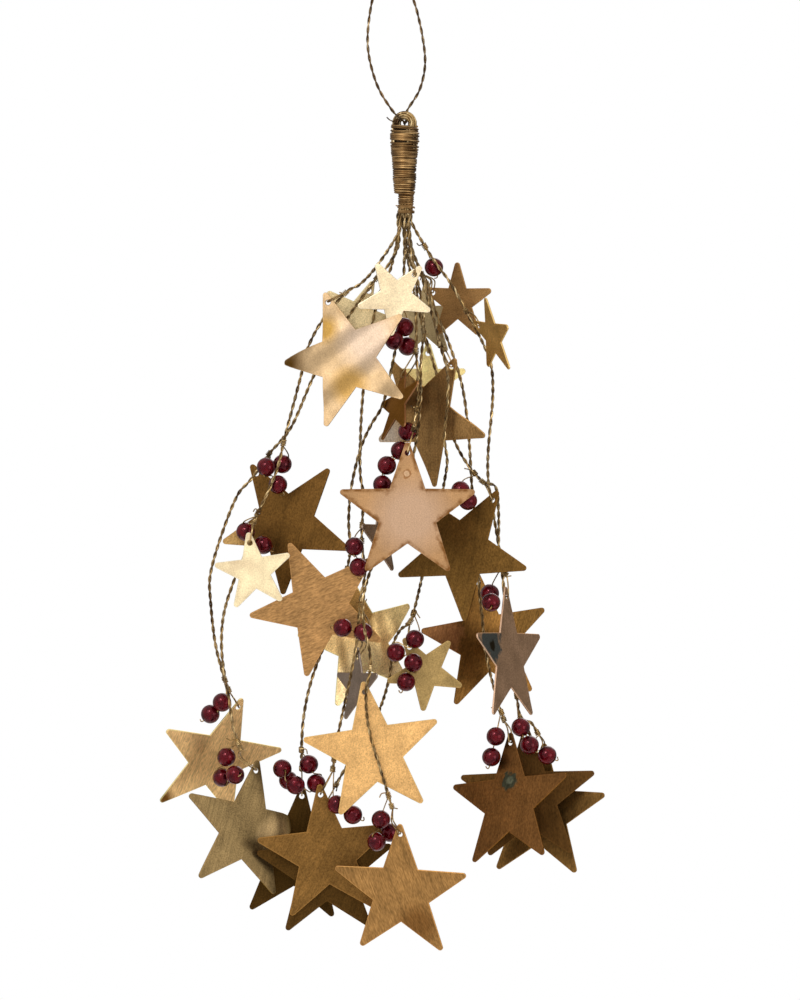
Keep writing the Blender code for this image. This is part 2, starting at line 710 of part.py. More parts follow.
def build_strand(name, stars, parts, tools, brass):
    """A twisted-wire strand with the hangers that its wires open into."""
    line = strand_line(name)
    strand = finish_mesh(name, tube_mesh(line, STRAND_D, 1), parts, brass)
    bm = bmesh.new()
    for entry in ROUTES[name]:
        if isinstance(entry, Hang):
            add_tube(bm, hanger_line(stars[entry.star], from_foot(entry.apex)), WIRE_D, 0, closed=True)
    hangers = finish_mesh(name + "_hangers", bm, tools, None)
    join_with(strand, hangers)
    return line


def hook_line(line, start, first_bead):
    """Wire end bent round the strand, leaving it towards the first bead."""
    nearest = min(range(1, len(line) - 1), key=lambda i: (line[i] - start).length)
    middle = line[nearest]
    along = (line[nearest + 1] - line[nearest - 1]).normalized()
    out = first_bead - middle
    out = (out - along * out.dot(along)).normalized()
    across = along.cross(out)
    radius = STRAND_D / 2.0 + GAP + WIRE_D / 2.0 + 0.1 * MM
    hook = []
    for k in range(7):
        turn = math.radians(-270 + 45 * k)
        place = middle + radius * (out * math.cos(turn) + across * math.sin(turn))
        hook.append(place + along * WIRE_D * 0.2 * k)
    return hook


def build_sprig(sprig, line, parts, tools, glass):
    """Beads threaded on a short wire that is hooked round its strand."""
    centres = [from_foot(place) for place in sprig.beads]
    hook = hook_line(line, from_foot(sprig.start), centres[0])
    stub = (centres[-1] - (centres[-2] if len(centres) > 1 else hook[-1])).normalized()
    wire = hook + centres + [centres[-1] + stub * (BEAD_D / 2.0 + 2.0 * WIRE_D)]
    obj = finish_mesh(sprig.name, tube_mesh(wire, WIRE_D, 0), parts, glass)
    bm = bmesh.new()
    for centre in centres:
        bmesh.ops.create_uvsphere(
            bm,
            u_segments=BEAD_SEGMENTS,
            v_segments=BEAD_RINGS,
            radius=BEAD_D / 2.0,
            matrix=Matrix.Translation(centre),
        )
    beads = finish_mesh(sprig.name + "_beads", bm, tools, None)
    join_with(obj, beads)


def main():
    clear_scene()
    parts = make_collection("beaded_star_cluster")
    tools = make_collection("helper_solids", hidden=True)
    star_brass = make_material("star_brass", (0.55, 0.38, 0.16), 1.0, 0.4)
    wire_brass = make_material("wire_brass", (0.36, 0.26, 0.12), 1.0, 0.45)
    binding = make_material("binding_brass", (0.42, 0.29, 0.12), 1.0, 0.45)
    glass = make_material("bead_glass", (0.16, 0.01, 0.02), 0.0, 0.12)

    build_loop(parts, wire_brass)
    build_neck(parts, tools, wire_brass, binding)
    stars = {star.name: star for star in STARS}
    for star in STARS:
        build_star(star, parts, star_brass)
    lines = {name: build_strand(name, stars, parts, tools, wire_brass) for name in ROUTES}
    for sprig in SPRIGS:
        build_sprig(sprig, lines[sprig.strand], parts, tools, glass)


main()
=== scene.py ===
"""Looks of the beaded star cluster: worn brass stars and red glass beads on twisted wire strands."""

import json
from collections import namedtuple
from math import asin, atan2, cos, inf, pi, radians, sin, tau

import bmesh
import bpy
from mathutils import Euler, Matrix, Vector, noise
from mathutils.geometry import delaunay_2d_cdt


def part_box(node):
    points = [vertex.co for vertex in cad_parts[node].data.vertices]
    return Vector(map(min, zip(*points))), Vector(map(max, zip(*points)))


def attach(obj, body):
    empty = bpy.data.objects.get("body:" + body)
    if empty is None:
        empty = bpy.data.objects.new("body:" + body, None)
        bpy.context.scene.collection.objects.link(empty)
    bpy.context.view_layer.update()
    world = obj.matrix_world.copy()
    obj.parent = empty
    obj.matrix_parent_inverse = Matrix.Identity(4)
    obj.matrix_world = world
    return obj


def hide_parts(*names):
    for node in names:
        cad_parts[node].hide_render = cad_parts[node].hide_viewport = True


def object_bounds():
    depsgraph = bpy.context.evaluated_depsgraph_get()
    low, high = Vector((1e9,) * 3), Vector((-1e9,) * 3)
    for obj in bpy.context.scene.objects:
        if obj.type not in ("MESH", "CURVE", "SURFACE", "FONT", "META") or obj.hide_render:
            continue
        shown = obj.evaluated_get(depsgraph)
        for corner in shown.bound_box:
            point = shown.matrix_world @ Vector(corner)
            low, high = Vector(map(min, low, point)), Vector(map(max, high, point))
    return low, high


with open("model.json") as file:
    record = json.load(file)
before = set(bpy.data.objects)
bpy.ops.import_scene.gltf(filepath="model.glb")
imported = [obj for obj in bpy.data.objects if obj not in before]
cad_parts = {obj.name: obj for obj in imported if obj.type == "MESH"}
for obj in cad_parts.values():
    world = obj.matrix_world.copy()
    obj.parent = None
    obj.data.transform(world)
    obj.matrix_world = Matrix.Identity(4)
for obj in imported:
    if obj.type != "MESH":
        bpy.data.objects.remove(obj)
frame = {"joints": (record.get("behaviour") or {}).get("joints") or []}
cad_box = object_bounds()

MM = 0.001

# Sizes shared with the solids
WIRE_D = 0.6 * MM
STRAND_D = 2 * WIRE_D
GAP = 0.3 * MM
LARGE = 24 * MM
SMALL = 13.5 * MM
STAR_SHEET = 0.6 * MM
STAR_INNER_RATIO = 0.43
STAR_TIP_ROUND = 1 * MM
STAR_HOLE_D = 1.8 * MM
HOLE_FROM_TIP = 3.6 * MM
BEAD_D = 6.4 * MM
LOOP_LEFT = 8.5 * MM
LOOP_RIGHT = 11 * MM
EYE_HOLE_D = 2.4 * MM
EYE_BUNDLE_D = 3 * MM
STRAND_SPACING = STRAND_D + GAP

# Twist of a pair of wires: its pitch, points in a turn, and how far and fast it strays
TWIST_PITCH = 5.8 * MM
LOOP_PITCH = 6.4 * MM
TWIST_POINTS = 11
TWIST_UNEVEN = 0.9
TWIST_DRIFT = 0.4

# Single wires
LOOP_WIRE_D = 0.52 * MM
FINE_WIRE_D = 0.42 * MM
BINDING_D = 0.74 * MM
BINDING_PITCH = 0.66 * MM
WIRE_SIDES = 7
FINE_SIDES = 6
WIRE_NOSE = 0.35
WIRE_STEP = 0.5 * MM
COIL_POINTS = 12

# Hangers: bends of their legs as shares of the way up, and the share that is straight in the hole
HANGER_D = 0.5 * MM
HANGER_CLEAR = 1 * MM
HANGER_LEGS = (0.15, 0.66)
HANGER_SEAT = 0.7
# Hangers bent wider or narrower, to clear their own or a neighbouring star
OTHER_HANGERS = {6: 1.3 * MM, 20: 0.8 * MM}

# Turns of fine wire over each hanger, and their cut end
WRAP_TURNS = 3.5
WRAP_RADIUS = STRAND_D / 2 + 0.4 * FINE_WIRE_D
WRAP_PITCH = 1.25 * FINE_WIRE_D
WRAP_SPIN = 2.4
WRAP_LIFT = 0.6
WRAP_ENDS = (0.8 * MM, 1.7 * MM)
WRAP_ASIDE = 0.4 * MM

# Turns of a sprig's wire round its strand, their cut end, and the curl at the other end:
# its steps along the wire and aside
SPRIG_TURNS = 4
SPRIG_RADIUS = STRAND_D / 2 + 0.45 * FINE_WIRE_D
SPRIG_PITCH = 1.3 * FINE_WIRE_D
CUT_LENGTH = 1.2 * MM
CUT_LIFT = 0.6 * MM
CUT_ASIDE = 1 * MM
END_CURL = [(0.5 * MM, 0.8 * MM), (-0.6 * MM, 0.9 * MM)]

# Beads: the hole, and its bore and the depth of its rim as shares of it
BEAD_HOLE_D = 1.2 * MM
BORE_SHARE = 0.8
RIM_SHARE = 0.2
BEAD_ROWS = 16
BEAD_SEGMENTS = 28
BEAD_REACH = 0.56 * BEAD_D

# Star sheets: bevel, widths of the worn and the stained band, points, and unevenness
EDGE_CHAMFER = 0.12 * MM
WORN_WIDTH = 0.4 * MM
STAIN_WIDTH = 1.4 * MM
STAR_TIPS = 5
TIP_ANGLE = 360 / STAR_TIPS
TIP_SPREAD = 69
TIP_STEP = 23
LEAST_SLANT = 0.4
EDGE_PARTS = 5
HOLE_POINTS = 18
GRID_STEP = 0.085
ROW_HEIGHT = 0.866
UNEVEN_HEIGHT = 0.1 * MM
UNEVEN_LENGTH = 11 * MM
STILL_REACH = 4 * MM
FADE_REACH = 6 * MM

# Angles above which an edge shows as sharp
STAR_SHARP = 35
BEAD_SHARP = 40
WIRE_SHARP = 50

# Strands at the foot of the neck: drawn together and how far up inside it, and straight below it
TUCK = 0.8
TUCK_RISE = 2.5 * MM
STRAIGHT_EXIT = 2 * MM

JOINTS = {joint["name"]: joint for joint in frame["joints"]}
EYE = Vector(JOINTS["cluster_swing"]["pos_m"])
FOOT = Vector((EYE.x, 0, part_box("neck_core")[0].z))

Look = namedtuple("Look", "number radius tilt tone grain streak edge")
Sheet = namedtuple("Sheet", "points triangles rings rims worn")
Curl = namedtuple("Curl", "angle start radius")
Wave = namedtuple("Wave", "angle length height")
Spot = namedtuple("Spot", "x z size soft tone")
Hang = namedtuple("Hang", "star apex")
Sprig = namedtuple("Sprig", "strand start beads")
Turn = namedtuple("Turn", "drop lean aim")
Light = namedtuple("Light", "name place size power")

# Stars: radius, tilt in degrees as in the solids, tone, which holds the brass's own colour together
# with painted reflection, darker on stars that mirror dark surroundings and lighter on stars in
# shade, grain direction as seen from the front, strength of its streaks, and how far the edges are
# worn bright
STARS = [
    Look(1, SMALL, -39, "f3ddb6", 20, 0.1, 0.3),
    Look(2, SMALL, -23, "e3cc9c", 60, 0.2, 0.3),
    Look(3, LARGE, 20, "b49873", 115, 0.1, 0.3),
    Look(4, SMALL, 71, "ad8453", 15, 0.25, 0.2),
    Look(5, SMALL, 68, "d2aa6c", 80, 0.2, 0.4),
    Look(6, SMALL, 0, "a8946e", 70, 0.15, 0.3),
    Look(7, SMALL, 0, "ffe09a", 0, 0.1, 0.3),
    Look(8, SMALL, 18, "805a3c", 70, 0.3, 0.5),
    Look(9, LARGE, -34, "a57f4e", 85, 0.35, 0.3),
    Look(10, LARGE, 33, "6d4d25", 75, 0.35, 0.2),
    Look(11, SMALL, 8, "fae2b8", 90, 0.08, 0.3),
    Look(12, LARGE, -47, "b48856", 22, 0.5, 0.5),
    Look(13, LARGE, 0, "b58c62", 90, 0.08, 0.1),
    Look(14, LARGE, -33, "705127", 80, 0.35, 0.3),
    Look(15, SMALL, 0, "a8978a", 90, 0.2, 0.3),
    Look(16, LARGE, 9, "7a562a", 75, 0.4, 0.3),
    Look(17, LARGE, -1, "b3937a", 90, 0.25, 0.6),
    Look(18, LARGE, 13, "f0ca8a", 60, 0.3, 0.4),
    Look(19, SMALL, 32, "a98d5a", 100, 0.2, 0.6),
    Look(20, SMALL, 0, "8d7f75", 90, 0.2, 0.3),
    Look(21, LARGE, 8, "e4b474", 94, 0.2, 0.3),
    Look(22, LARGE, -10, "f4c88c", 80, 0.6, 0.4),
    Look(23, LARGE, -12, "74603f", 75, 0.3, 0.4),
    Look(24, LARGE, -5, "4a3416", 80, 0.3, 0.2),
    Look(25, LARGE, 6, "846032", 62, 0.35, 0.8),
    Look(26, LARGE, 3, "503819", 70, 0.35, 0.4),
    Look(27, LARGE, -3, "a67c49", 107, 0.6, 0.6),
    Look(28, LARGE, 6, "724d29", 85, 0.4, 0.3),
    Look(29, LARGE, 2, "5e4120", 95, 0.45, 0.4),
    Look(30, LARGE, -2, "7e5d31", 80, 0.45, 0.4),
]

# Arms bent out of the plane: direction in the star, then start and radius of the bend in millimetres
CURLS = {
    3: Curl(162, 9, 24),
    9: Curl(198, 6, 30),
    18: Curl(18, 8, 30),
    23: Curl(18, 12, 6.5),
}

# Ripples left by handling: direction in the star, then length and height in millimetres
WAVES = {
    3: Wave(108, 12, 0.4),
    9: Wave(15, 15, 0.3),
    18: Wave(0, 8, 0.3),
    23: Wave(40, 26, 0.25),
}

# Spots of stain and patina, and spots of painted shade, painted shadow and painted highlight: place
# from the star's centre and size in millimetres, 0 for a ragged edge up to 1 for a soft one, and
# tone
SPOTS = {
    # Star 3: painted shade on the left arm that bends back, a painted highlight on the right, and
    # darker painted reflection bands across the middle and the top
    3: [
        Spot(-22, 6, 9, 1, "5f431f"), Spot(9, 4, 13, 1, "b6a08a"), Spot(-2, -9, 8, 1, "a9854c"),
        Spot(-4, 12, 6, 1, "96753c"),
    ],
    # Star 9: painted pale reflection on the lower-left arm, which bends back
    9: [Spot(-12, -16, 10, 1, "c8b6a2")],
    10: [Spot(-22, 7, 9, 1, "b8935c")],
    13: [
        Spot(1, -1, 16, 1, "bf9d80"), Spot(0, 22.5, 6, 0.5, "b48a62"),
        # A dimple below the hole, painted as a ring of shade round a painted highlight
        Spot(-0.5, 13.5, 1.8, 0, "9c7048"), Spot(-0.5, 13.5, 1.2, 0, "c4a07c"),
    ],
    # Star 16: a painted copper highlight on the left arm, and the right arm darker
    16: [Spot(-16, 4, 9, 0.5, "9a6a42"), Spot(18, 6, 12, 1, "5f4420")],
    17: [Spot(-14, 5, 8.5, 0, "525c5f"), Spot(-12.5, 4, 2, 0, "20282a")],
    # Star 18: painted shadow of star 12 across the top, and painted highlights on the middle and the
    # other arms
    18: [
        Spot(0, 11, 11, 0.6, "7a5a30"), Spot(0, -8, 9, 1, "ffe2aa"), Spot(17, 5.5, 9, 1, "f4d494"),
        Spot(-11, -15, 10, 1, "f8dca6"), Spot(11, -15, 10, 1, "f8dca6"),
    ],
    # Star 22: painted shade on the lower-left tip
    22: [Spot(-14, -19, 6, 1, "7a5226")],
    # Star 23: painted light over the right side, lightening the shade that star 25 casts there
    23: [Spot(13, -1, 10, 1, "b09468")],
    27: [Spot(6, -11, 9, 1, "80592f")],
    28: [Spot(0, 7.5, 3.2, 0, "3b3d30"), Spot(0.2, 7.7, 1.6, 0.3, "5c5f4e")],
}

# Stars with brown stains along their edges, and how strong the stains are
STAINED = {3: 0.15, 11: 0.2, 13: 0.9, 21: 0.2, 27: 0.15}

# Rows of strands where they leave the neck, from front to back: depth in strand spacings,
# then the strands from left to right
EXIT_ROWS = [(-0.9, "aef"), (0, "bdgj"), (0.9, "cih")]

# Outer shape of the wound neck: drop below the eye and radius, in millimetres
NECK_OUTLINE = [
    (0, 4.2), (1.2, 4.5), (4.9, 4.95), (8, 4.65), (12, 4.3),
    (20, 3.85), (23.5, 3.55), (24, 2.6), (31, 2.5),
]
# Drops where the flat top has become round, where the narrow foot begins with its shift, and where
# the tight turns end, in millimetres; then the top's depth as a share of its width
NECK_ROUND = 3.6
NECK_STEP = 23.7
NECK_SHIFT = 0.5
TIGHT_END = 27.6
TOP_DEPTH = 0.45
NECK_SEGMENTS = 24

# Turns at the top, given one by one: drop below the eye and lean in millimetres, and the side that
# is lifted, in degrees from the right
LOOSE_TURNS = [
    Turn(0.75, 0.3, 180), Turn(1.3, 0.45, 180), Turn(1.8, 0.25, 180), Turn(3.05, 0.3, 0),
    Turn(3.6, 0.2, 30), Turn(4.15, 0.4, 180), Turn(4.65, 0.3, 0), Turn(5.2, 0.2, 150),
    Turn(5.75, 0.35, 180), Turn(7.25, 0.45, 0), Turn(7.7, 0.35, 185), Turn(8.25, 0.3, 20),
    Turn(8.8, 0.25, 150), Turn(9.3, 0.3, 0),
]
# Tight turns below them: how much and how fast pitch and lean vary, and how far on each leans; then
# how high the wire rides, how much and how fast that varies, and more where loose turns cross
PITCH_UNEVEN = 0.35
PITCH_DRIFT = 0.7
LEAN_UNEVEN = 0.6
LEAN_DRIFT = 0.9
LEAN_STEP = 137
TURN_POINTS = 18
RIDE = 0.1
RIDE_UNEVEN = 0.15
RIDE_DRIFT = 0.31
RIDE_CROSSED = 0.15
# Rings wound at the foot: their drops, and how high they ride
FOOT_RINGS = (28.5, 29.9, 30.3)
RING_RIDE = 0.1

# Wires of the bundle that show between the turns, in degrees from the right with the front at -90;
# then the drops where they start and end and their depth under the outer shape
UPPER_WIRES = (-80, -66, -50, -41, -24, -8, 10, 35, 60, 74, 95, 130, 143, 160, 185, 205)
LOWER_WIRES = range(0, 360, 26)
UPPER_SPAN = (1.2, 9.5, 0.6)
LOWER_SPAN = (26.5, 32, 0.7)
BUNDLE_PARTS = 8
BUNDLE_LEAN = 0.02
# Insides of the neck, near black as painted shade between the turns: drops and depth under the outer
# shape
PACKINGS = [
    ((1.4, 3, 4.9, 9.5), 1.1),
    ((9, 12, 20, 23.4), 0.45),
    ((23, 23.8, 27.5, 30.6), 0.75),
]
# Loose ends of fine wire at the eye and at the foot, in millimetres from the eye
EYE_STRAY = [(-2.6, -1.4, -0.4), (-3.7, -2, 0.5), (-5, -2.6, 1.1), (-6, -2.9, 2)]
FOOT_STRAYS = [
    [(-2, -1.4, -27.8), (-2.4, -1.2, -28.1), (-2.9, -0.9, -27.9)],
    [(2.3, -1.6, -29.2), (2.9, -1.4, -28.7), (3.5, -1.2, -28.8)],
    [(1, -2.4, -28), (2, -2.1, -29.3), (3.2, -1.5, -30.2)],
    [(-1.2, -2.3, -29.2), (0.6, -2.6, -28.4), (2.2, -2, -28)],
]
# Bundle bent into the eye: its legs' places below it, parts of the arch, wires and their lay
EYE_LEG_X = 2 * MM
EYE_LEG_DROP = 7 * MM
ARCH_PARTS = 12
EYE_WIRES = 9
EYE_WIRE_D = 1.15 * WIRE_D
EYE_LAY = 1.9
EYE_SIDES = 8
EYE_CORE_SIDES = 10
EYE_CORE_PLAY = 0.3 * WIRE_D

# Strand routes, in millimetres from the foot of the neck
ROUTES = {
    "a": [
        (-2, -3, -6.5), (-9.5, -9, -18), (-15, -13, -24), Hang(3, (-20, -14, -27)),
        (-28, -11, -36.5), (-33, -8.5, -46), (-35, -8.5, -54.5), (-40.5, -9, -75.5),
        (-43, -8.5, -86), (-47, -7, -96), Hang(11, (-51, -8, -104.5)), (-53, -6, -113),
        (-57.5, -5, -123.5), (-61.5, -4, -136.5), (-62, -4, -150), (-59.5, -9, -165),
        (-58, -11, -175), Hang(23, (-55.5, -10, -182)),
    ],
    "b": [
        (-2, -3, -10.5), (-5.5, -8.5, -17.5), Hang(2, (-9.5, -9, -22)), (-18, -10.5, -33.5),
        (-25.5, -11, -45.5), (-31, -10, -55.5), (-38.5, -5.5, -72.5), Hang(10, (-46, -1, -81.5)),
        (-52, 0, -90), (-57, -1, -96), (-62.5, -1.5, -110), (-66, -1, -122.5), (-66, 0, -131),
        (-64.5, 0, -145), (-62, 0, -155.5), Hang(22, (-59.5, 0, -162.5)),
    ],
    "c": [
        (-2.5, 0.5, -9), (-3.5, -2.5, -14), (-5, -6, -19.5), (-8.5, -8.5, -27.5),
        (-11.5, -9.5, -41), (-14, -9, -60), (-15, -9, -77), (-15, -9, -88.5),
        Hang(15, (-14, -9, -96)), Hang(12, (-14.5, -10, -111)), (-13.5, -11, -122.5),
        (-15, -11, -131), Hang(20, (-16, -11, -143.5)), (-17.5, -11, -153), (-20, -13, -165),
        (-23, -13, -179), Hang(25, (-24.5, -10, -189.5)),
    ],
    "d": [
        (0, 0, -10.5), (-0.5, 0, -26), (-2, 1.5, -39.5), (-4.5, 1, -53), (-7.5, 1, -65),
        (-11.5, -2, -72), (-15, -4, -80), (-18, -5, -92.5), (-19, -3, -104), (-18.5, -2.5, -113),
        Hang(18, (-19.5, 4.5, -120.5)), (-23.5, 3, -136.5), (-31, 0, -156.5), (-34, 0, -169),
        (-35, 0, -180.5), Hang(24, (-35, 9, -189.5)),
    ],
    "e": [
        (0.5, -2.5, -9), Hang(1, (1, -7, -14.5)), (3.5, -6.5, -29), (4, -8.5, -39.5),
        Hang(8, (4, -9, -46.5)), (4.5, -10, -56.5), (4.5, -13, -65), Hang(13, (3, -18, -74)),
    ],
    "f": [
        (1.5, -2, -10.5), (4, -4.5, -20.5), (6.5, -7, -36), (5.5, -8, -51.5), (5.5, -8, -63),
        (4, -10, -77), (0, -13, -94), (-6.5, -13, -109), (-11.5, -13, -121), (-14, -17, -131),
        (-13.5, -20.5, -141), (-12, -21, -147.5), Hang(21, (-11.5, -20.5, -154)),
        (-13, -21.5, -162.5), (-12, -21.5, -175), (-7.5, -21.5, -190.5), Hang(27, (-4, -22, -202)),
    ],
    "g": [
        (2, 0, -11), (5.5, 1.5, -20), (8.5, 0, -31), (10.5, -5, -38), Hang(9, (12, -11, -44.5)),
        (14.5, -13, -53.5), (14.5, -12.5, -65), (13.5, -10, -76), (14.5, -9.5, -84),
        (13.5, -8, -91), (12.5, -1.5, -95.5), (10.5, 6.5, -100), (6.5, 8.5, -121), (4, 2, -132),
        Hang(19, (2, -2.5, -138.5)), (-1.5, 1, -141.5), (-4, 5, -147), (-5, 5, -157),
        (-8.5, -4, -168.5), (-15, -9, -180.5), (-20.5, -9, -189), Hang(26, (-23.5, -7, -194.5)),
    ],
    "h": [
        (2.5, 2.5, -11.5), Hang(4, (6, 5, -20.5)), (11, 2.5, -34), (15.5, 2, -45), (19.5, 1.5, -58),
        (21.5, 1.5, -71.5), (22.5, 2, -85.5), (23, 4, -94), (24, 9, -105.5),
        Hang(16, (25, 14, -117.5)), (25.5, 12, -128), (26.5, 8, -138), (27.5, 7, -148),
        (29, 5, -155.5), (31.5, -2, -165), Hang(28, (34, -5, -172.5)),
    ],
    "i": [
        (1, 4, -13), Hang(6, (3.5, 8, -20)), (4.5, 8, -29), Hang(7, (6.5, 9.5, -39.5)),
        (11, 8, -54.5), (14.5, 5, -68.5), (17, 2, -77), (21, -2, -84.5), Hang(14, (26.5, -7, -91)),
        (31, -2.5, -93), (32, -1, -102.5), (32, 0, -112.5), (33, -3, -120.5),
        Hang(17, (34.5, -4, -122.5)),
    ],
    "j": [
        (4, -0.5, -6), (8.5, 0, -13.5), (12, 0.5, -18.5), (16, 1.5, -24), Hang(5, (21, 2, -33)),
        (26.5, 4, -43.5), (29.5, 4, -51.5), (30, 4, -63), (28.5, 3.5, -80), (28.5, 4, -90.5),
        (30, 4, -100.5), (32, 4.5, -112.5), (33.5, 4, -124.5), (35.5, 8, -145), (36, 9, -155),
        (38, 8, -162.5), Hang(29, (39.5, 4, -171.5)), (43, 8.5, -173), Hang(30, (45.5, 10, -177)),
    ],
}

# Bead sprigs in order: the strand that holds it and the place on it, then the bead centres
SPRIGS = [
    Sprig("j", (7, 0, -11), [(10, 5, -18)]),
    Sprig("d", (-1, 0, -31.5), [(0, -3, -38.5), (-3.5, -5.5, -43), (1, -0.5, -45)]),
    Sprig("a", (-41, -9, -77), [(-41.5, -1, -85), (-47, -5, -86), (-43, -4, -92)]),
    Sprig("a", (-50, -8, -101.5), [(-54, -2.5, -108), (-48, -2.5, -112.5)]),
    Sprig("e", (4.5, -14, -66.5), [
        (1, -12, -74), (-1.5, -13, -80.5), (-6, -13, -85.5), (-7.5, -13, -92),
    ]),
    Sprig("c", (-14.5, -10, -105.5), [(-17, -15, -113), (-15.5, -15.5, -120)]),
    Sprig("c", (-15, -11, -132.5), [(-14, -16, -142), (-21, -14.5, -140.5)]),
    Sprig("g", (3, -1, -135.5), [
        (3.5, -6.5, -144.5), (-3, -7, -149), (3, -8, -152.5), (0.5, -7.5, -159),
    ]),
    Sprig("i", (33, -3, -119.5), [(29, 0.5, -129), (29.4, -6.3, -132)]),
    Sprig("b", (-61.5, 0, -158), [(-62, -4.5, -166), (-66, -2, -170)]),
    Sprig("a", (-56.5, -12, -179.5), [
        (-60.5, -7, -184.5), (-62, -4.5, -191.5), (-57.5, -10.5, -190.5),
    ]),
    Sprig("d", (-35, 0, -182), [
        (-32.5, -5, -187), (-30, -4.5, -193.5), (-37, -8, -194), (-41.5, -6, -188.5),
        (-39.5, -0.5, -192.5),
    ]),
    Sprig("c", (-23.5, -12, -184.5), [(-23, -13.5, -200.5), (-17.5, -13.5, -204)]),
    Sprig("f", (-5.5, -22, -197.5), [(-8, -19, -205.5), (-9.5, -19, -213), (-5, -14, -210)]),
    Sprig("h", (32.5, -3, -169.5), [(31, -7, -177.5), (29.5, -7, -184.5)]),
    Sprig("j", (38, 7.5, -165), [(39.5, -2, -174.5), (42.5, -2.5, -180.5), (48.5, -1.5, -184)]),
    Sprig("i", (24, -5, -89), [(19, -13, -94), (21.5, -7.5, -97.5)]),
]


# Places, lines and wires


def star_name(number):
    """The name of a star's node."""
    return f"star_{number:02d}"


def swing(number):
    """Where a star's wire passes its hole, and the direction square to its sheet."""
    joint = JOINTS[star_name(number) + "_swing"]
    return Vector(joint["pos_m"]), Vector(joint["axis"])


def from_foot(place):
    """A place given in millimetres from the foot of the neck."""
    return FOOT + Vector(place) * MM


def from_eye(place):
    """A place given in millimetres from the eye."""
    return EYE + Vector(place) * MM


def around(side, over, turn):
    """The direction at a turn from side to over."""
    return side * cos(turn) + over * sin(turn)


def drift(place, row):
    """A slow random change along a row, from -1 to 1."""
    return noise.noise((place, row, 0))


def smooth(points, steps, closed=False):
    """Pass a smooth line through the points."""
    count = len(points)
    line = []
    for i in range(count if closed else count - 1):
        picks = [k % count if closed else min(max(k, 0), count - 1) for k in range(i - 1, i + 3)]
        before, here, there, after = (points[k] for k in picks)
        for k in range(steps):
            t = k / steps
            pull = (there - before) * t + (2 * before - 5 * here + 4 * there - after) * t ** 2
            turn = (3 * here - before - 3 * there + after) * t ** 3
            line.append(here + 0.5 * (pull + turn))
    if not closed:
        line.append(points[-1].copy())
    return line


def resample(line, step, closed=False):
    """Points at even steps along a line."""
    if closed:
        line = line + [line[0]]
    lengths = [0]
    for here, there in zip(line, line[1:]):
        lengths.append(lengths[-1] + (there - here).length)
    count = max(2, round(lengths[-1] / step))
    points = []
    i = 0
    for k in range(count if closed else count + 1):
        reach = lengths[-1] * k / count
        while i < len(line) - 2 and lengths[i + 1] < reach:
            i += 1
        span = max(lengths[i + 1] - lengths[i], 1e-12)
        points.append(line[i].lerp(line[i + 1], (reach - lengths[i]) / span))
    return points


def carried_frames(line, closed=False):
    """Side and over directions carried along a line without spinning."""
    count = len(line)
    frames = []
    side = None
    for i, here in enumerate(line):
        before = line[i - 1] if i or closed else here
        after = line[(i + 1) % count] if i < count - 1 or closed else here
        ahead = (after - before).normalized()
        if side is None:
            side = ahead.orthogonal()
        side = (side - ahead * side.dot(ahead)).normalized()
        frames.append((side, ahead.cross(side)))
    return frames


def grip(line, place):
    """Number of a line's point that is nearest to a place, and the line's direction there."""
    i = min(range(1, len(line) - 1), key=lambda k: (line[k] - place).length)
    return i, (line[i + 1] - line[i - 1]).normalized()


def coil(middle, along, out, radius, pitch, turns):
    """Points of a wire wound round a line."""
    across = along.cross(out)
    points = []
    for k in range(round(turns * COIL_POINTS) + 1):
        part = k / COIL_POINTS
        climb = along * pitch * (part - turns / 2)
        points.append(middle + climb + radius * around(out, across, tau * part))
    return points


class Shape:
    """Vertices and faces of a piece, with a named value at each vertex."""

    def __init__(self, mark="painted_shade"):
        self.mark = mark
        self.verts = []
        self.faces = []
        self.values = []

    def add(self, verts, faces, values=None):
        """Take in vertices and the faces that number them from 0."""
        first = len(self.verts)
        self.verts += verts
        self.faces += [[first + i for i in face] for face in faces]
        self.values += values or [0] * len(verts)


def ring_faces(rings, sides, closed=False):
    """Faces between rings of points, and back to the first ring if closed."""
    faces = []
    for r in range(rings if closed else rings - 1):
        low = r * sides
        high = (r + 1) % rings * sides
        for k in range(sides):
            n = (k + 1) % sides
            faces.append([low + k, low + n, high + n, high + k])
    return faces


def add_wire(shape, line, diameter, sides=WIRE_SIDES, closed=False, painted_shade=0):
    """A round wire along a line, with rounded ends where it is open."""
    verts = []
    for here, (side, over) in zip(line, carried_frames(line, closed)):
        for k in range(sides):
            verts.append(here + diameter / 2 * around(side, over, tau * k / sides))
    faces = ring_faces(len(line), sides, closed)
    if not closed:
        for end, nose in ((0, line[0] - line[1]), (len(line) - 1, line[-1] - line[-2])):
            tip = len(verts)
            verts.append(line[end] + nose.normalized() * diameter * WIRE_NOSE)
            for k in range(sides):
                pair = [end * sides + k, end * sides + (k + 1) % sides]
                faces.append((pair if end else pair[::-1]) + [tip])
    # The value kept at each vertex is 1 on the wire of a twisted pair that carries painted shade
    shape.add(verts, faces, [painted_shade] * len(verts))


def add_pair(shape, line, diameter, pitch, seed, closed=False):
    """A bright wire and a wire darkened with painted shade, twisted together a little unevenly, as
    hand work is.
    """
    line = resample(line, pitch / TWIST_POINTS, closed)
    frames = carried_frames(line, closed)
    total = sum((there - here).length for here, there in zip(line, line[1:]))
    turns = max(1, round(total / pitch))
    for half, painted_shade in ((0, 0), (pi, 1)):
        wire = []
        for i, (here, (side, over)) in enumerate(zip(line, frames)):
            part = i / len(line)
            uneven = 0 if closed else TWIST_UNEVEN * drift(part * turns * TWIST_DRIFT, seed)
            turn = tau * turns * part + half + uneven
            wire.append(here + diameter * 0.5 * around(side, over, turn))
        add_wire(shape, wire, diameter, WIRE_SIDES, closed, painted_shade)


# Materials


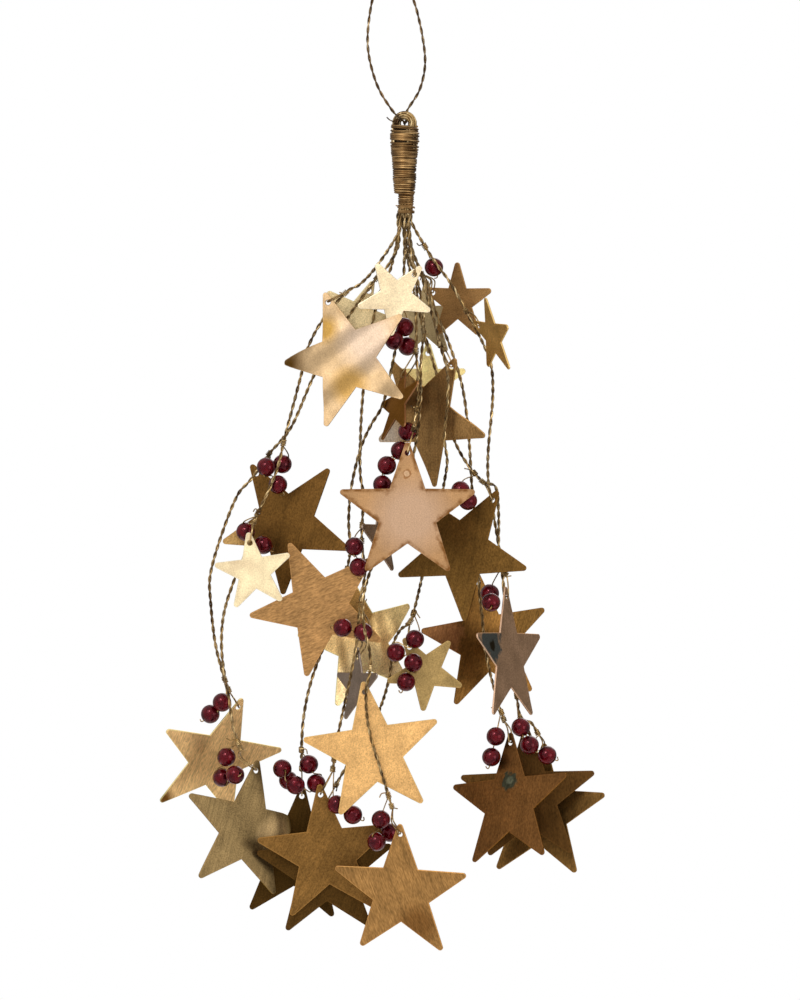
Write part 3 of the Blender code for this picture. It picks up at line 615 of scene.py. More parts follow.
def tone(code, strength=1):
    """A colour for the shader, from its six-figure code."""
    channels = []
    for k in (0, 2, 4):
        value = int(code[k:k + 2], 16) / 255
        value = value / 12.92 if value <= 0.04045 else ((value + 0.055) / 1.055) ** 2.4
        channels.append(min(1, value * strength))
    return (*channels, 1)


# Marks on a star's sheet: sizes along the grain, through the sheet and across the grain
GRAIN_SIZE = (14 * MM, 2 * MM, 0.35 * MM)
STREAK_SIZE = (45 * MM, 4 * MM, 1.3 * MM)
CLOUD_SIZE = (7 * MM,) * 3
RAGGED_SIZE = (2.6 * MM,) * 3
SPECK_SIZE = (0.7 * MM,) * 3
SAND_LENGTH = 0.45 * MM
SAND_WIDTH = 0.42 * MM
# Above this strength of the streaks, sanding grows into brush marks
BRUSH_FROM = 0.3
BRUSH_GAIN = 4 * MM
# How the tone varies: dull and bright clouds, worn edges, and stains where none are named
DULL_CLOUD = 0.8
BRIGHT_CLOUD = 1.14
WORN_GAIN = 1.8
FAINT_STAIN = 0.05
SPECK_TONE = "3a2614"
STAIN_TONE = "74491f"
# Spots: how far a ragged edge strays, and where a sharp and a soft one begin to fade
SPOT_STRAY = 0.45
SHARP_FADE = 0.75
SOFT_FADE = 0.4

# Wires: tones of the dull patches, which also give the painted shade of one wire in each twisted
# pair, of most of the wire and of its bright marks
WIRE_TONES = {
    "wire_brass": ("3f2b15", "a98a58", "f0d6a2"),
    "loop_brass": ("332412", "74593a", "d2b88e"),
    "fine_wire_brass": ("5a4020", "a17f4a", "dcc08a"),
    "binding_brass": ("553c1f", "8c6b41", "d0ab74"),
    # Near-black tones of the neck's inside: painted shade
    "painted_shade_packing": ("1c120a", "33230f", "4a351c"),
}
WIRE_CLOUD = (5 * MM,) * 3
WIRE_MARKS = (1.2 * MM, 1.2 * MM, 3 * MM)
OTHER_MARKS = {"binding_brass": (9 * MM, 9 * MM, 0.8 * MM)}
# How far painted shade darkens one wire of each twisted pair, standing in for its shaded side
PAINTED_SHADE_SHARE = 0.6

SWIRL_SIZE = (2.5 * MM, 2.5 * MM, 4 * MM)
GLASS_TONES = ("260208", "5c0610")
FLOOR_CLOUD = (0.05,) * 3
FLOOR_TONES = ("f1f0ee", "fafaf9")

STAR_SHADER = {"Metallic": 1, "Roughness": 0.4, "Specular Tint": tone("e0c090")}
WIRE_SHADER = {"Metallic": 0.85, "Roughness": 0.36}
FLOOR_SHADER = {"Metallic": 0, "Roughness": 0.7}
GLASS_SHADER = {
    "Metallic": 0,
    "Roughness": 0.07,
    "Transmission Weight": 0.3,
    "Specular IOR Level": 0.7,
    "IOR": 1.45,
    "Specular Tint": tone("ff8a96"),
    "Subsurface Weight": 0.4,
    "Subsurface Radius": (1, 0.1, 0.12),
    "Subsurface Scale": 2.5 * MM,
}
# Each seed moves the noise by this much
SEED_SHIFT = (0.37, 0.11, 0.23)


class Nodes:
    """Short calls for the nodes of a material or of the surroundings."""

    def __init__(self, owner):
        owner.use_nodes = True
        self.tree = owner.node_tree

    def feed(self, node, inputs):
        """Link a node's inputs to sockets or set them to constants; returns its outputs."""
        for name, value in inputs.items():
            if isinstance(value, bpy.types.NodeSocket):
                self.tree.links.new(value, node.inputs[name])
            else:
                node.inputs[name].default_value = value
        return node.outputs

    def add(self, kind, inputs, operation=None):
        """A new node with its inputs; returns its outputs."""
        node = self.tree.nodes.new("ShaderNode" + kind)
        if operation:
            node.operation = operation
        return self.feed(node, inputs)

    def math(self, operation, first, second):
        """Two values worked into one."""
        return self.add("Math", {0: first, 1: second}, operation)["Value"]


class Surface(Nodes):
    """A node material with the calls that the finishes here share."""

    def __init__(self, name, settings):
        self.material = bpy.data.materials.new(name)
        super().__init__(self.material)
        self.shader = self.tree.nodes["Principled BSDF"]
        self.feed(self.shader, settings)
        self.place = self.add("TexCoord", {})["Object"]

    def noise(self, size, detail, angle=0, seed=0):
        """Noise with features of this size in metres, turned in the plane of the piece."""
        mapping = self.tree.nodes.new("ShaderNodeMapping")
        mapping.vector_type = "TEXTURE"
        shift = [step * seed for step in SEED_SHIFT]
        turned = {"Location": shift, "Rotation": (0, -angle, 0), "Scale": size}
        place = self.feed(mapping, {"Vector": self.place, **turned})["Vector"]
        return self.add("TexNoise", {"Vector": place, "Scale": 1, "Detail": detail})["Fac"]

    def ramp(self, value, low, high, low_out=0, high_out=1):
        """Spread a value from one range to another."""
        ranges = {"From Min": low, "From Max": high, "To Min": low_out, "To Max": high_out}
        return self.add("MapRange", {"Value": value, **ranges})["Result"]

    def mix(self, amount, first, second):
        """Blend two colours."""
        node = self.tree.nodes.new("ShaderNodeMix")
        node.data_type = "RGBA"
        return self.feed(node, {"Factor": amount, 6: first, 7: second})[2]

    def scaled(self, colour, value):
        """A colour made darker or brighter by a value about 1."""
        return self.add("VectorMath", {0: colour, "Scale": value}, "SCALE")["Vector"]

    def attribute(self, name):
        """The value of this name at each vertex."""
        node = self.tree.nodes.new("ShaderNodeAttribute")
        node.attribute_name = name
        return node.outputs["Fac"]

    def near(self, point, size, soft, ragged):
        """1 at a point, falling to 0 at about this distance along a soft or ragged edge."""
        distance = self.add("VectorMath", {0: self.place, 1: point}, "DISTANCE")["Value"]
        stray = SPOT_STRAY * size * (1 - soft)
        shift = self.ramp(ragged, 0.25, 0.75, -stray, stray)
        fade = SHARP_FADE + (SOFT_FADE - SHARP_FADE) * soft
        return self.ramp(self.math("ADD", distance, shift), size, fade * size)

    def bump(self, height, strength, distance):
        """The surface's direction as roughened by a height."""
        inputs = {"Height": height, "Strength": strength, "Distance": distance}
        return self.add("Bump", inputs)["Normal"]

    def finish(self, colour, **others):
        """Give the shader its colour and other varying inputs."""
        self.feed(self.shader, {"Base Color": colour, **others})
        return self.material


def star_marks(surface, look, seed, grain, angle):
    """Sanding, fine grain and streaks of a sheet, as a value about 1."""
    streak = surface.noise(STREAK_SIZE, 3, angle, seed + 3)
    brush = SAND_LENGTH + BRUSH_GAIN * max(0, look.streak - BRUSH_FROM)
    sand = surface.noise((brush, SAND_LENGTH, SAND_WIDTH), 2, angle, seed + 9)
    depth = min(0.3, 0.08 + 0.8 * look.streak)
    sanded = surface.ramp(sand, 0.3, 0.7, 1 - depth, 1 + depth)
    fine = surface.ramp(grain, 0.35, 0.65, 1, 1 - 0.3 * look.streak)
    lines = surface.ramp(streak, 0.52, 0.66, 1, 1 - 0.4 * look.streak)
    return surface.math("MULTIPLY", sanded, surface.math("MULTIPLY", fine, lines))


def star_surface(look, seed):
    """Brushed brass with clouds, spots of stain, patina, painted shade and painted highlight,
    specks, and stained and worn edges.
    """
    surface = Surface(star_name(look.number) + "_brass", STAR_SHADER)
    angle = radians(look.grain - look.tilt)
    grain = surface.noise(GRAIN_SIZE, 5, angle, seed)
    cloud = surface.noise(CLOUD_SIZE, 4, 0, seed + 5)
    ragged = surface.noise(RAGGED_SIZE, 4, 0, seed + 6)
    speck = surface.noise(SPECK_SIZE, 2, 0, seed + 7)

    clouds = surface.ramp(cloud, 0.3, 0.7)
    base = surface.mix(clouds, tone(look.tone, DULL_CLOUD), tone(look.tone, BRIGHT_CLOUD))
    # Spots of stain and patina, and spots of painted shade, painted shadow and painted highlight
    for spot in SPOTS.get(look.number, []):
        near = surface.near((spot.x * MM, 0, spot.z * MM), spot.size * MM, spot.soft, ragged)
        base = surface.mix(near, base, tone(spot.tone))
    base = surface.scaled(base, star_marks(surface, look, seed, grain, angle))
    dots = surface.ramp(speck, 0.70, 0.76, 0, min(0.45, 0.1 + look.streak))
    base = surface.mix(dots, base, tone(SPECK_TONE))

    edge = surface.attribute("edge")
    stain = surface.ramp(ragged, 0.35, 0.6, 0, STAINED.get(look.number, FAINT_STAIN))
    stain = surface.math("MULTIPLY", surface.ramp(edge, 0, 0.6), stain)
    base = surface.mix(stain, base, tone(STAIN_TONE))
    worn = surface.ramp(edge, 1 - WORN_WIDTH / STAIN_WIDTH, 1, 0, look.edge)
    base = surface.mix(worn, base, tone(look.tone, WORN_GAIN))
    rough = surface.ramp(grain, 0.3, 0.7, 0.34, 0.48)
    return surface.finish(base, Roughness=rough, Normal=surface.bump(grain, 0.12, 0.05 * MM))


def wire_surface(name):
    """Drawn brass wire, dulled in patches and bright at its marks, with painted shade on one wire of
    each twisted pair.
    """
    dark, middle, bright = (tone(code) for code in WIRE_TONES[name])
    surface = Surface(name, WIRE_SHADER)
    cloud = surface.noise(WIRE_CLOUD, 3)
    scratch = surface.noise(OTHER_MARKS.get(name, WIRE_MARKS), 3, 0, 2)
    base = surface.mix(surface.ramp(cloud, 0.35, 0.65), dark, middle)
    base = surface.mix(surface.ramp(scratch, 0.5, 0.7, 0, 0.7), base, bright)
    # Painted shade on one wire of each twisted pair, standing in for its shaded side
    painted_shade = surface.ramp(surface.attribute("painted_shade"), 0, 1, 0, PAINTED_SHADE_SHARE)
    base = surface.mix(painted_shade, base, dark)
    rough = surface.ramp(cloud, 0.3, 0.7, 0.3, 0.46)
    return surface.finish(base, Roughness=rough, Normal=surface.bump(scratch, 0.15, 0.03 * MM))


def bead_surface():
    """Dark red pressed glass, cloudy inside."""
    surface = Surface("bead_glass", GLASS_SHADER)
    swirl = surface.noise(SWIRL_SIZE, 2)
    dark, light = (tone(code) for code in GLASS_TONES)
    base = surface.mix(surface.ramp(swirl, 0.35, 0.65), dark, light)
    return surface.finish(base, Roughness=surface.ramp(swirl, 0.3, 0.7, 0.1, 0.15))


def floor_surface():
    """Pale matt paint."""
    surface = Surface("floor_paint", FLOOR_SHADER)
    pale, paler = (tone(code) for code in FLOOR_TONES)
    return surface.finish(surface.mix(surface.noise(FLOOR_CLOUD, 2), pale, paler))


# Pieces


def in_scene(name, data):
    """A new object in the scene."""
    obj = bpy.data.objects.new(name, data)
    bpy.context.scene.collection.objects.link(obj)
    return obj


def make_piece(
    name, shape, material, node, body="cluster", sharp=WIRE_SHARP, place=None
):
    """A piece that rides its body in the place of its node."""
    mesh = bpy.data.meshes.new(name)
    mesh.from_pydata(shape.verts, [], shape.faces)
    bm = bmesh.new()
    bm.from_mesh(mesh)
    bmesh.ops.recalc_face_normals(bm, faces=bm.faces)
    bm.to_mesh(mesh)
    bm.free()
    mesh.shade_smooth()
    mesh.set_sharp_from_angle(angle=radians(sharp))
    mesh.materials.append(material)
    if any(shape.values):
        values = mesh.attributes.new(shape.mark, "FLOAT", "POINT")
        values.data.foreach_set("value", shape.values)
    obj = in_scene(name, mesh)
    if place:
        obj.matrix_world = place
    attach(obj, body)
    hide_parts(node)


# Stars


def aimed(angle):
    """A step of length 1 in this direction, in the plane of a star."""
    return Vector((cos(angle), sin(angle)))


def tip_point(radius, aim, aside):
    """A point of a rounded tip, so many degrees from where the tip points."""
    middle = aimed(aim) * (radius - STAR_TIP_ROUND)
    return middle + STAR_TIP_ROUND * aimed(aim + radians(aside))


def star_outline(radius):
    """Five rounded tips with sharp notches between them."""
    outline = []
    for k in range(STAR_TIPS):
        aim = radians(90 + TIP_ANGLE * k)
        spread = range(-TIP_SPREAD, TIP_SPREAD + 1, TIP_STEP)
        outline += [tip_point(radius, aim, aside) for aside in spread]
        corner = outline[-1]
        notch = radius * STAR_INNER_RATIO * aimed(aim + radians(TIP_ANGLE / 2))
        other = tip_point(radius, aim + radians(TIP_ANGLE), -TIP_SPREAD)
        outline += [corner.lerp(notch, t / EDGE_PARTS) for t in range(1, EDGE_PARTS)]
        outline += [notch.lerp(other, t / EDGE_PARTS) for t in range(EDGE_PARTS)]
    return outline


def inset(outline, width):
    """The outline moved to its left: inwards if it runs anticlockwise."""
    count = len(outline)
    moved = []
    for i, here in enumerate(outline):
        first = (here - outline[i - 1]).normalized()
        second = (outline[(i + 1) % count] - here).normalized()
        normal = (first.orthogonal() + second.orthogonal()).normalized()
        slant = max(LEAST_SLANT, normal.dot(second.orthogonal()))
        moved.append(here + normal * width / slant)
    return moved


def edge_distance(point, outline):
    """Distance from a point to an outline, below zero outside it."""
    least = inf
    inside = False
    for a, b in zip(outline, outline[1:] + outline[:1]):
        span = b - a
        part = max(0, min(1, (point - a).dot(span) / span.length_squared))
        least = min(least, (point - a - span * part).length)
        if (a.y > point.y) != (b.y > point.y):
            if point.x < a.x + (point.y - a.y) * (b.x - a.x) / (b.y - a.y):
                inside = not inside
    return least if inside else -least


def edge_points(outline, hole, middle):
    """Points along a star's edge and round its hole, left out where they would crowd."""
    points = []
    for width in (0.6 * WORN_WIDTH, WORN_WIDTH, STAIN_WIDTH):
        for place in inset(outline, width):
            from_hole = (place - middle).length - STAR_HOLE_D / 2
            if from_hole > 1.2 * WORN_WIDTH and edge_distance(place, outline) > 0.8 * width:
                points.append(place)
    for place in inset(hole, WORN_WIDTH):
        if edge_distance(place, outline) > 0.3 * WORN_WIDTH:
            points.append(place)
    return points


def grid_points(radius, outline, middle):
    """An even grid over the rest of a star."""
    points = []
    step = GRID_STEP * radius
    reach = int(radius / step) + 2
    for row in range(-reach, reach + 1):
        for column in range(-reach, reach + 1):
            place = Vector(((column + 0.5 * (row % 2)) * step, row * step * ROW_HEIGHT))
            clear = edge_distance(place, outline)
            if clear > 1.2 * STAIN_WIDTH and (place - middle).length > STAR_HOLE_D:
                points.append(place)
    return points


def star_sheet(radius):
    """One face of a star, in triangles that are finer along its edge and hole."""
    outline = star_outline(radius)
    middle = Vector((0, radius - HOLE_FROM_TIP))
    turns = [-tau * k / HOLE_POINTS for k in range(HOLE_POINTS)]
    hole = [middle + STAR_HOLE_D / 2 * aimed(turn) for turn in turns]
    points = []
    edges = []
    rings = []
    for ring in (outline, hole):
        ids = [len(points) + k for k in range(len(ring))]
        points += inset(ring, EDGE_CHAMFER)
        edges += list(zip(ids, ids[1:] + ids[:1]))
        rings.append(ids)
    points += edge_points(outline, hole, middle) + grid_points(radius, outline, middle)
    keep_inside = 1
    found = delaunay_2d_cdt(points, edges, [], keep_inside, 1e-7)
    where = {old: new for new, olds in enumerate(found[3]) for old in olds}
    rings = [[where[k] for k in ids] for ids in rings]
    triangles = [t for t in found[2] if not set(t) <= set(rings[1])]
    worn = [1 - min(1, max(0, edge_distance(p, outline)) / STAIN_WIDTH) for p in found[0]]
    return Sheet(found[0], triangles, rings, (outline, hole), worn)


SHEETS = {radius: star_sheet(radius) for radius in (SMALL, LARGE)}


def in_sheet(angle):
    """A step of length 1 at these degrees, in a star that hangs upright."""
    turn = radians(angle)
    return Vector((cos(turn), 0, sin(turn)))


def rippled(place, look):
    """A point of the flat star moved by the sheet's unevenness, which spares the hole."""
    still = look.radius - HOLE_FROM_TIP - STILL_REACH
    keep = min(1, max(0, (still - place.z) / FADE_REACH))
    own = Vector((look.tilt, look.grain, 0))
    lift = UNEVEN_HEIGHT * noise.noise(place / UNEVEN_LENGTH + own)
    wave = WAVES.get(look.number)
    if wave:
        along = place.dot(in_sheet(wave.angle))
        lift += wave.height * MM * sin(tau * along / (wave.length * MM))
    return place + Vector((0, lift * keep, 0))


def curled(place, look):
    """A point of the sheet moved with an arm that is bent out of it."""
    curl = CURLS.get(look.number)
    if not curl:
        return place
    along = in_sheet(curl.angle)
    reach = place.dot(along) - curl.start * MM
    if reach <= 0:
        return place
    radius = curl.radius * MM
    inner = radius - place.y
    moved = place + along * (inner * sin(reach / radius) - reach)
    moved.y = radius - inner * cos(reach / radius)
    return moved


def star_shape(look):
    """A stamped sheet with bevelled edges, rippled and bent."""
    sheet = SHEETS[look.radius]
    half = STAR_SHEET / 2
    flat = half - EDGE_CHAMFER
    count = len(sheet.points)
    verts = [Vector((p.x, y, p.y)) for y in (-half, half) for p in sheet.points]
    faces = [list(t) for t in sheet.triangles]
    faces += [[count + i for i in reversed(t)] for t in sheet.triangles]
    edge = sheet.worn + sheet.worn
    for ids, rim in zip(sheet.rings, sheet.rims):
        front = len(verts)
        back = front + len(rim)
        verts += [Vector((p.x, y, p.y)) for y in (-flat, flat) for p in rim]
        edge += [1] * (2 * len(rim))
        for k in range(len(rim)):
            n = (k + 1) % len(rim)
            faces.append([ids[k], ids[n], front + n, front + k])
            faces.append([front + k, front + n, back + n, back + k])
            faces.append([back + k, back + n, count + ids[n], count + ids[k]])
    shape = Shape("edge")
    shape.add([curled(rippled(v, look), look) for v in verts], faces, edge)
    return shape


def build_star(look, seed):
    """A star hung by its hole on the wire that it swings on."""
    seat = STAR_HOLE_D / 2 - WIRE_D / 2 - GAP
    drop = look.radius - HOLE_FROM_TIP + seat
    wire, normal = swing(look.number)
    angles = (asin(normal.z), -radians(look.tilt), atan2(-normal.x, normal.y))
    turn = Euler(angles, "YXZ").to_matrix().to_4x4()
    place = Matrix.Translation(wire) @ turn @ Matrix.Translation((0, 0, -drop))
    name = star_name(look.number)
    brass = star_surface(look, seed)
    body = name + "_body"
    make_piece(name + "_sheet", star_shape(look), brass, name, body, STAR_SHARP, place)


# Strands


def hanger_line(star, apex):
    """Closed wire from a strand through a star's hole, with a leg on either side of the sheet."""
    wire, normal = swing(star)
    reach = apex - wire
    rise = reach - normal * reach.dot(normal)
    side = normal * OTHER_HANGERS.get(star, HANGER_CLEAR)
    line = [wire - HANGER_SEAT * side, wire, wire + HANGER_SEAT * side]
    line += [wire + side + rise * part for part in HANGER_LEGS]
    line.append(apex)
    line += [wire - side + rise * part for part in reversed(HANGER_LEGS)]
    return smooth(line, 5, closed=True)


def strand_lines():
    """Each strand's line, from inside the neck through the tops of its hangers."""
    down = Vector((0, 0, -1))
    lines = {}
    for depth, row in EXIT_ROWS:
        for k, strand in enumerate(row):
            aside = Vector((k - (len(row) - 1) / 2, depth, 0)) * STRAND_SPACING
            tucked = FOOT + TUCK * aside + Vector((NECK_SHIFT * MM, 0, TUCK_RISE))
            start = FOOT + aside + down * GAP
            places = [tucked, start, start + down * STRAIGHT_EXIT]
            for entry in ROUTES[strand]:
                places.append(from_foot(entry.apex if isinstance(entry, Hang) else entry))
            lines[strand] = smooth(places, 6)
    return lines


def add_wrap(shape, line, place, seed):
    """A few tight turns round a strand, with a cut end that stands off."""
    i, along = grip(line, place)
    out = Matrix.Rotation(WRAP_SPIN * seed + i, 3, along) @ along.orthogonal().normalized()
    points = coil(line[i], along, out, WRAP_RADIUS, WRAP_PITCH, WRAP_TURNS)
    end = points[-1]
    stray = (end - points[-2]).normalized() + WRAP_LIFT * out
    points += [end + stray * WRAP_ENDS[0], end + stray * WRAP_ENDS[1] + along * WRAP_ASIDE]
    add_wire(shape, points, FINE_WIRE_D, FINE_SIDES)


def build_strand(strand, seed, line, brass):
    """A twisted pair with a hanger of wire at each star."""
    shape = Shape()
    add_pair(shape, line, WIRE_D, TWIST_PITCH, seed)
    for entry in ROUTES[strand]:
        if isinstance(entry, Hang):
            apex = from_foot(entry.apex)
            add_wire(shape, hanger_line(entry.star, apex), HANGER_D, closed=True)
            add_wrap(shape, line, apex, seed)
    name = "strand_" + strand
    make_piece(name + "_twist", shape, brass, name)


# Bead sprigs


def add_bead(shape, centre, axis):
    """A glass ball with a hole through it."""
    side = axis.orthogonal().normalized()
    over = axis.cross(side)
    radius = BEAD_D / 2
    hole = BEAD_HOLE_D / 2
    first = asin(hole / radius)
    profile = []
    for k in range(BEAD_ROWS + 1):
        turn = first + (pi - 2 * first) * k / BEAD_ROWS
        profile.append((radius * sin(turn), radius * cos(turn)))
    bore = BORE_SHARE * hole
    bore_end = profile[0][1] - RIM_SHARE * hole
    profile += [(bore, -bore_end), (bore, bore_end)]
    verts = []
    for reach, height in profile:
        for k in range(BEAD_SEGMENTS):
            aim = around(side, over, tau * k / BEAD_SEGMENTS)
            verts.append(centre + axis * height + reach * aim)
    shape.add(verts, ring_faces(len(profile), BEAD_SEGMENTS, closed=True))


def sprig_grip(sprig, seed, line, towards):
    """A sprig's wire wound round its strand, from its cut end on."""
    i, along = grip(line, from_foot(sprig.start))
    out = towards - line[i]
    out = (out - along * out.dot(along)).normalized()
    wound = coil(line[i], along, out, SPRIG_RADIUS, SPRIG_PITCH, SPRIG_TURNS)
    first = wound[0] + (wound[0] - wound[1]).normalized() * CUT_LENGTH + out * CUT_LIFT
    second = first + out * CUT_LENGTH + along * (CUT_ASIDE if seed % 2 else -CUT_ASIDE)
    return [second, first] + wound


def build_sprig(sprig, seed, line, glass, brass):
    """Beads on a fine wire, wound on to its strand and ending in a curl."""
    centres = [from_foot(place) for place in sprig.beads]
    points = sprig_grip(sprig, seed, line, centres[0])
    stops = [points[-1]] + centres
    beads = Shape()
    for k, centre in enumerate(centres):
        ahead = centres[k + 1] if k + 1 < len(centres) else centre + (centre - stops[k])
        axis = (ahead - stops[k]).normalized()
        add_bead(beads, centre, axis)
        points += [centre - axis * BEAD_REACH, centre, centre + axis * BEAD_REACH]
    axis = (points[-1] - points[-2]).normalized()
    aside = axis.orthogonal().normalized()
    for onward, outward in END_CURL:
        points.append(points[-1] + axis * onward + aside * outward)
    wires = Shape()
    add_wire(wires, resample(smooth(points, 5), WIRE_STEP), FINE_WIRE_D, FINE_SIDES)
    name = f"bead_sprig_{seed + 1:02d}"
    make_piece(name + "_glass", beads, glass, name, sharp=BEAD_SHARP)
    make_piece(name + "_wire", wires, brass, name)


# Neck


def neck_radius(drop):
    """Outer radius of the wound neck, in millimetres."""
    for (d0, r0), (d1, r1) in zip(NECK_OUTLINE, NECK_OUTLINE[1:]):
        if drop <= d1:
            return r0 + (r1 - r0) * (drop - d0) / (d1 - d0)
    return NECK_OUTLINE[-1][1]


def on_neck(drop, turn, ride):
    """A point at this drop and turn, so many millimetres outside the neck."""
    radius = neck_radius(drop) + ride
    shift = NECK_SHIFT if drop > NECK_STEP else 0
    depth = radius * (TOP_DEPTH + (1 - TOP_DEPTH) * min(1, drop / NECK_ROUND))
    return from_eye((shift + radius * cos(turn), depth * sin(turn), -drop))


def neck_ring(drop, ride):
    """A ring of points round the neck."""
    turns = [tau * k / NECK_SEGMENTS for k in range(NECK_SEGMENTS)]
    return [on_neck(drop, turn, ride) for turn in turns]


def binding_turns():
    """All turns of the binding from the top: loose ones, then tight ones at uneven steps."""
    turns = list(LOOSE_TURNS)
    drop = turns[-1].drop
    while drop < TIGHT_END:
        k = len(turns)
        drop += BINDING_PITCH / MM * (1 + PITCH_UNEVEN * drift(PITCH_DRIFT * k, 1.5))
        turns.append(Turn(drop, LEAN_UNEVEN * drift(LEAN_DRIFT * k, 4.5), LEAN_STEP * k))
    return turns


def binding_line(turns):
    """One wire through all the turns; of the loose ones, every second rides on top."""
    points = []
    for k, (here, there) in enumerate(zip(turns, turns[1:])):
        for i in range(TURN_POINTS):
            part = i / TURN_POINTS
            turn = tau * part
            drop = here.drop + (there.drop - here.drop) * part
            rise = (1 - part) * here.lean * cos(turn - radians(here.aim))
            rise += part * there.lean * cos(turn - radians(there.aim))
            ride = RIDE + RIDE_UNEVEN * drift(RIDE_DRIFT * (k + part), 7.5)
            if k < len(LOOSE_TURNS):
                ride += RIDE_CROSSED * cos(pi * (k + part))
            ride -= 0.5 * BINDING_D / MM
            points.append(on_neck(drop, turn, ride) + Vector((0, 0, rise * MM)))
    return points


def add_standing_wires(shape, angles, span):
    """Wires of the bundle that show between the turns."""
    high, low, depth = span
    for angle in angles:
        line = []
        for i in range(BUNDLE_PARTS + 1):
            drop = high + (low - high) * i / BUNDLE_PARTS
            line.append(on_neck(drop, radians(angle) + BUNDLE_LEAN * i, -depth))
        add_wire(shape, line, BINDING_D)


def add_packing(shape, drops, depth):
    """A solid inside the winding, near black with painted shade, closed at both ends."""
    verts = [point for drop in drops for point in neck_ring(drop, -depth)]
    ends = [list(range(NECK_SEGMENTS)), list(range(len(verts) - NECK_SEGMENTS, len(verts)))]
    shape.add(verts, ring_faces(len(drops), NECK_SEGMENTS) + ends)


def add_stray(shape, places):
    """A loose end of fine wire."""
    add_wire(shape, smooth([from_eye(place) for place in places], 4), FINE_WIRE_D, FINE_SIDES)


def eye_arch():
    """The bundle's line, up one leg, over the eye and down the other."""
    radius = (EYE_HOLE_D + EYE_BUNDLE_D) / 2
    arch = [EYE + Vector((-EYE_LEG_X, 0, -EYE_LEG_DROP))]
    for k in range(ARCH_PARTS + 1):
        turn = pi * (1 - k / ARCH_PARTS)
        arch.append(EYE + radius * Vector((cos(turn), 0, sin(turn))))
    arch.append(EYE + Vector((EYE_LEG_X, 0, -EYE_LEG_DROP)))
    return resample(smooth(arch, 5), WIRE_STEP)


def build_eye(brass):
    """A bundle of wires bent into the eye, with one cut end that stands off."""
    arch = eye_arch()
    frames = carried_frames(arch)
    ring = EYE_BUNDLE_D / 2 - WIRE_D / 2
    eye = Shape()
    add_wire(eye, arch, 2 * ring - EYE_CORE_PLAY, EYE_CORE_SIDES)
    for k in range(EYE_WIRES):
        line = []
        for i, (here, (side, over)) in enumerate(zip(arch, frames)):
            turn = tau * k / EYE_WIRES + EYE_LAY * i / len(arch)
            line.append(here + ring * around(side, over, turn))
        add_wire(eye, line, EYE_WIRE_D, EYE_SIDES)
    add_stray(eye, EYE_STRAY)
    make_piece("neck_eye", eye, brass, "neck_core")


def build_neck(brass, binding, dark):
    """The eye, the bundle and its inside, near black with painted shade, and the wire wound round
    them.
    """
    build_eye(brass)
    inside = Shape()
    for drops, depth in PACKINGS:
        add_packing(inside, drops, depth)
    make_piece("neck_painted_shade", inside, dark, "neck_core")

    bundle = Shape()
    add_standing_wires(bundle, UPPER_WIRES, UPPER_SPAN)
    add_standing_wires(bundle, LOWER_WIRES, LOWER_SPAN)
    make_piece("neck_bundle", bundle, brass, "neck_core")

    winding = Shape()
    add_wire(winding, binding_line(binding_turns()), BINDING_D)
    for places in FOOT_STRAYS:
        add_stray(winding, places)
    for drop in FOOT_RINGS:
        add_wire(winding, neck_ring(drop, RING_RIDE), BINDING_D, closed=True)
    make_piece("neck_winding", winding, binding, "binding_wire")


# Loop


def build_loop(brass):
    """Twisted wire whose left leg enters the eye from the front and right leg from behind."""
    rise = STRAND_D / 2
    side = EYE_BUNDLE_D / 2 + GAP + STRAND_D / 2 + 0.2 * MM
    drop = -EYE.z
    places = [
        (0, 0, rise),
        (-0.5 * LOOP_LEFT, 0, rise - 0.05 * drop),
        (-0.85 * LOOP_LEFT, 0, rise - 0.2 * drop),
        (-LOOP_LEFT, 0, -0.47 * drop),
        (-0.65 * LOOP_LEFT, -0.6 * side, -0.73 * drop),
        (EYE.x - 4.2 * MM, -side, -drop + 4.4 * MM),
        (EYE.x - 0.6 * MM, -side, -drop + 0.9 * MM),
        (EYE.x, -0.45 * side, -drop),
        (EYE.x, 0.45 * side, -drop),
        (EYE.x + 0.6 * MM, side, -drop + 0.9 * MM),
        (EYE.x + 1 * MM, side, -drop + 4.6 * MM),
        (0.85 * LOOP_RIGHT, 0.6 * side, -0.76 * drop),
        (LOOP_RIGHT, 0, -0.55 * drop),
        (0.75 * LOOP_RIGHT, 0, rise - 0.25 * drop),
        (0.4 * LOOP_RIGHT, 0, rise - 0.06 * drop),
    ]
    shape = Shape()
    line = smooth([Vector(place) for place in places], 6, closed=True)
    add_pair(shape, line, LOOP_WIRE_D, LOOP_PITCH, 3, closed=True)
    make_piece("hanging_loop_twist", shape, brass, "hanging_loop", "loop")


# Stage

PIXEL = 0.34 * MM
FRAME_HEIGHT = 1000 * PIXEL
FOOT_PIXEL = (404.5, 214)
MIDDLE_PIXEL = (400, 500)
CAMERA_DISTANCE = 5

FLOOR_DROP = 0.08
FLOOR_RADIUS = 0.32
FLOOR_SEGMENTS = 96

LIGHT_AIM = FOOT - Vector((0, 0, 0.1))
LIGHTS = [
    Light("key", (-0.5, -0.9, 0.45), 0.8, 2.8),
    Light("glint", (-0.3, -0.9, 0.5), 0.3, 2.8),
    Light("fill", (0.75, -0.75, -0.25), 0.6, 2.2),
    Light("rim", (0.3, 1, 0.4), 0.8, 2.5),
]

# Studio: its glow grows along this direction
STUDIO_GRADE = (-0.12, -0.38, 0.30)
STUDIO_GLOW = 0.65
STUDIO_TINT = (1, 0.985, 0.96, 1)


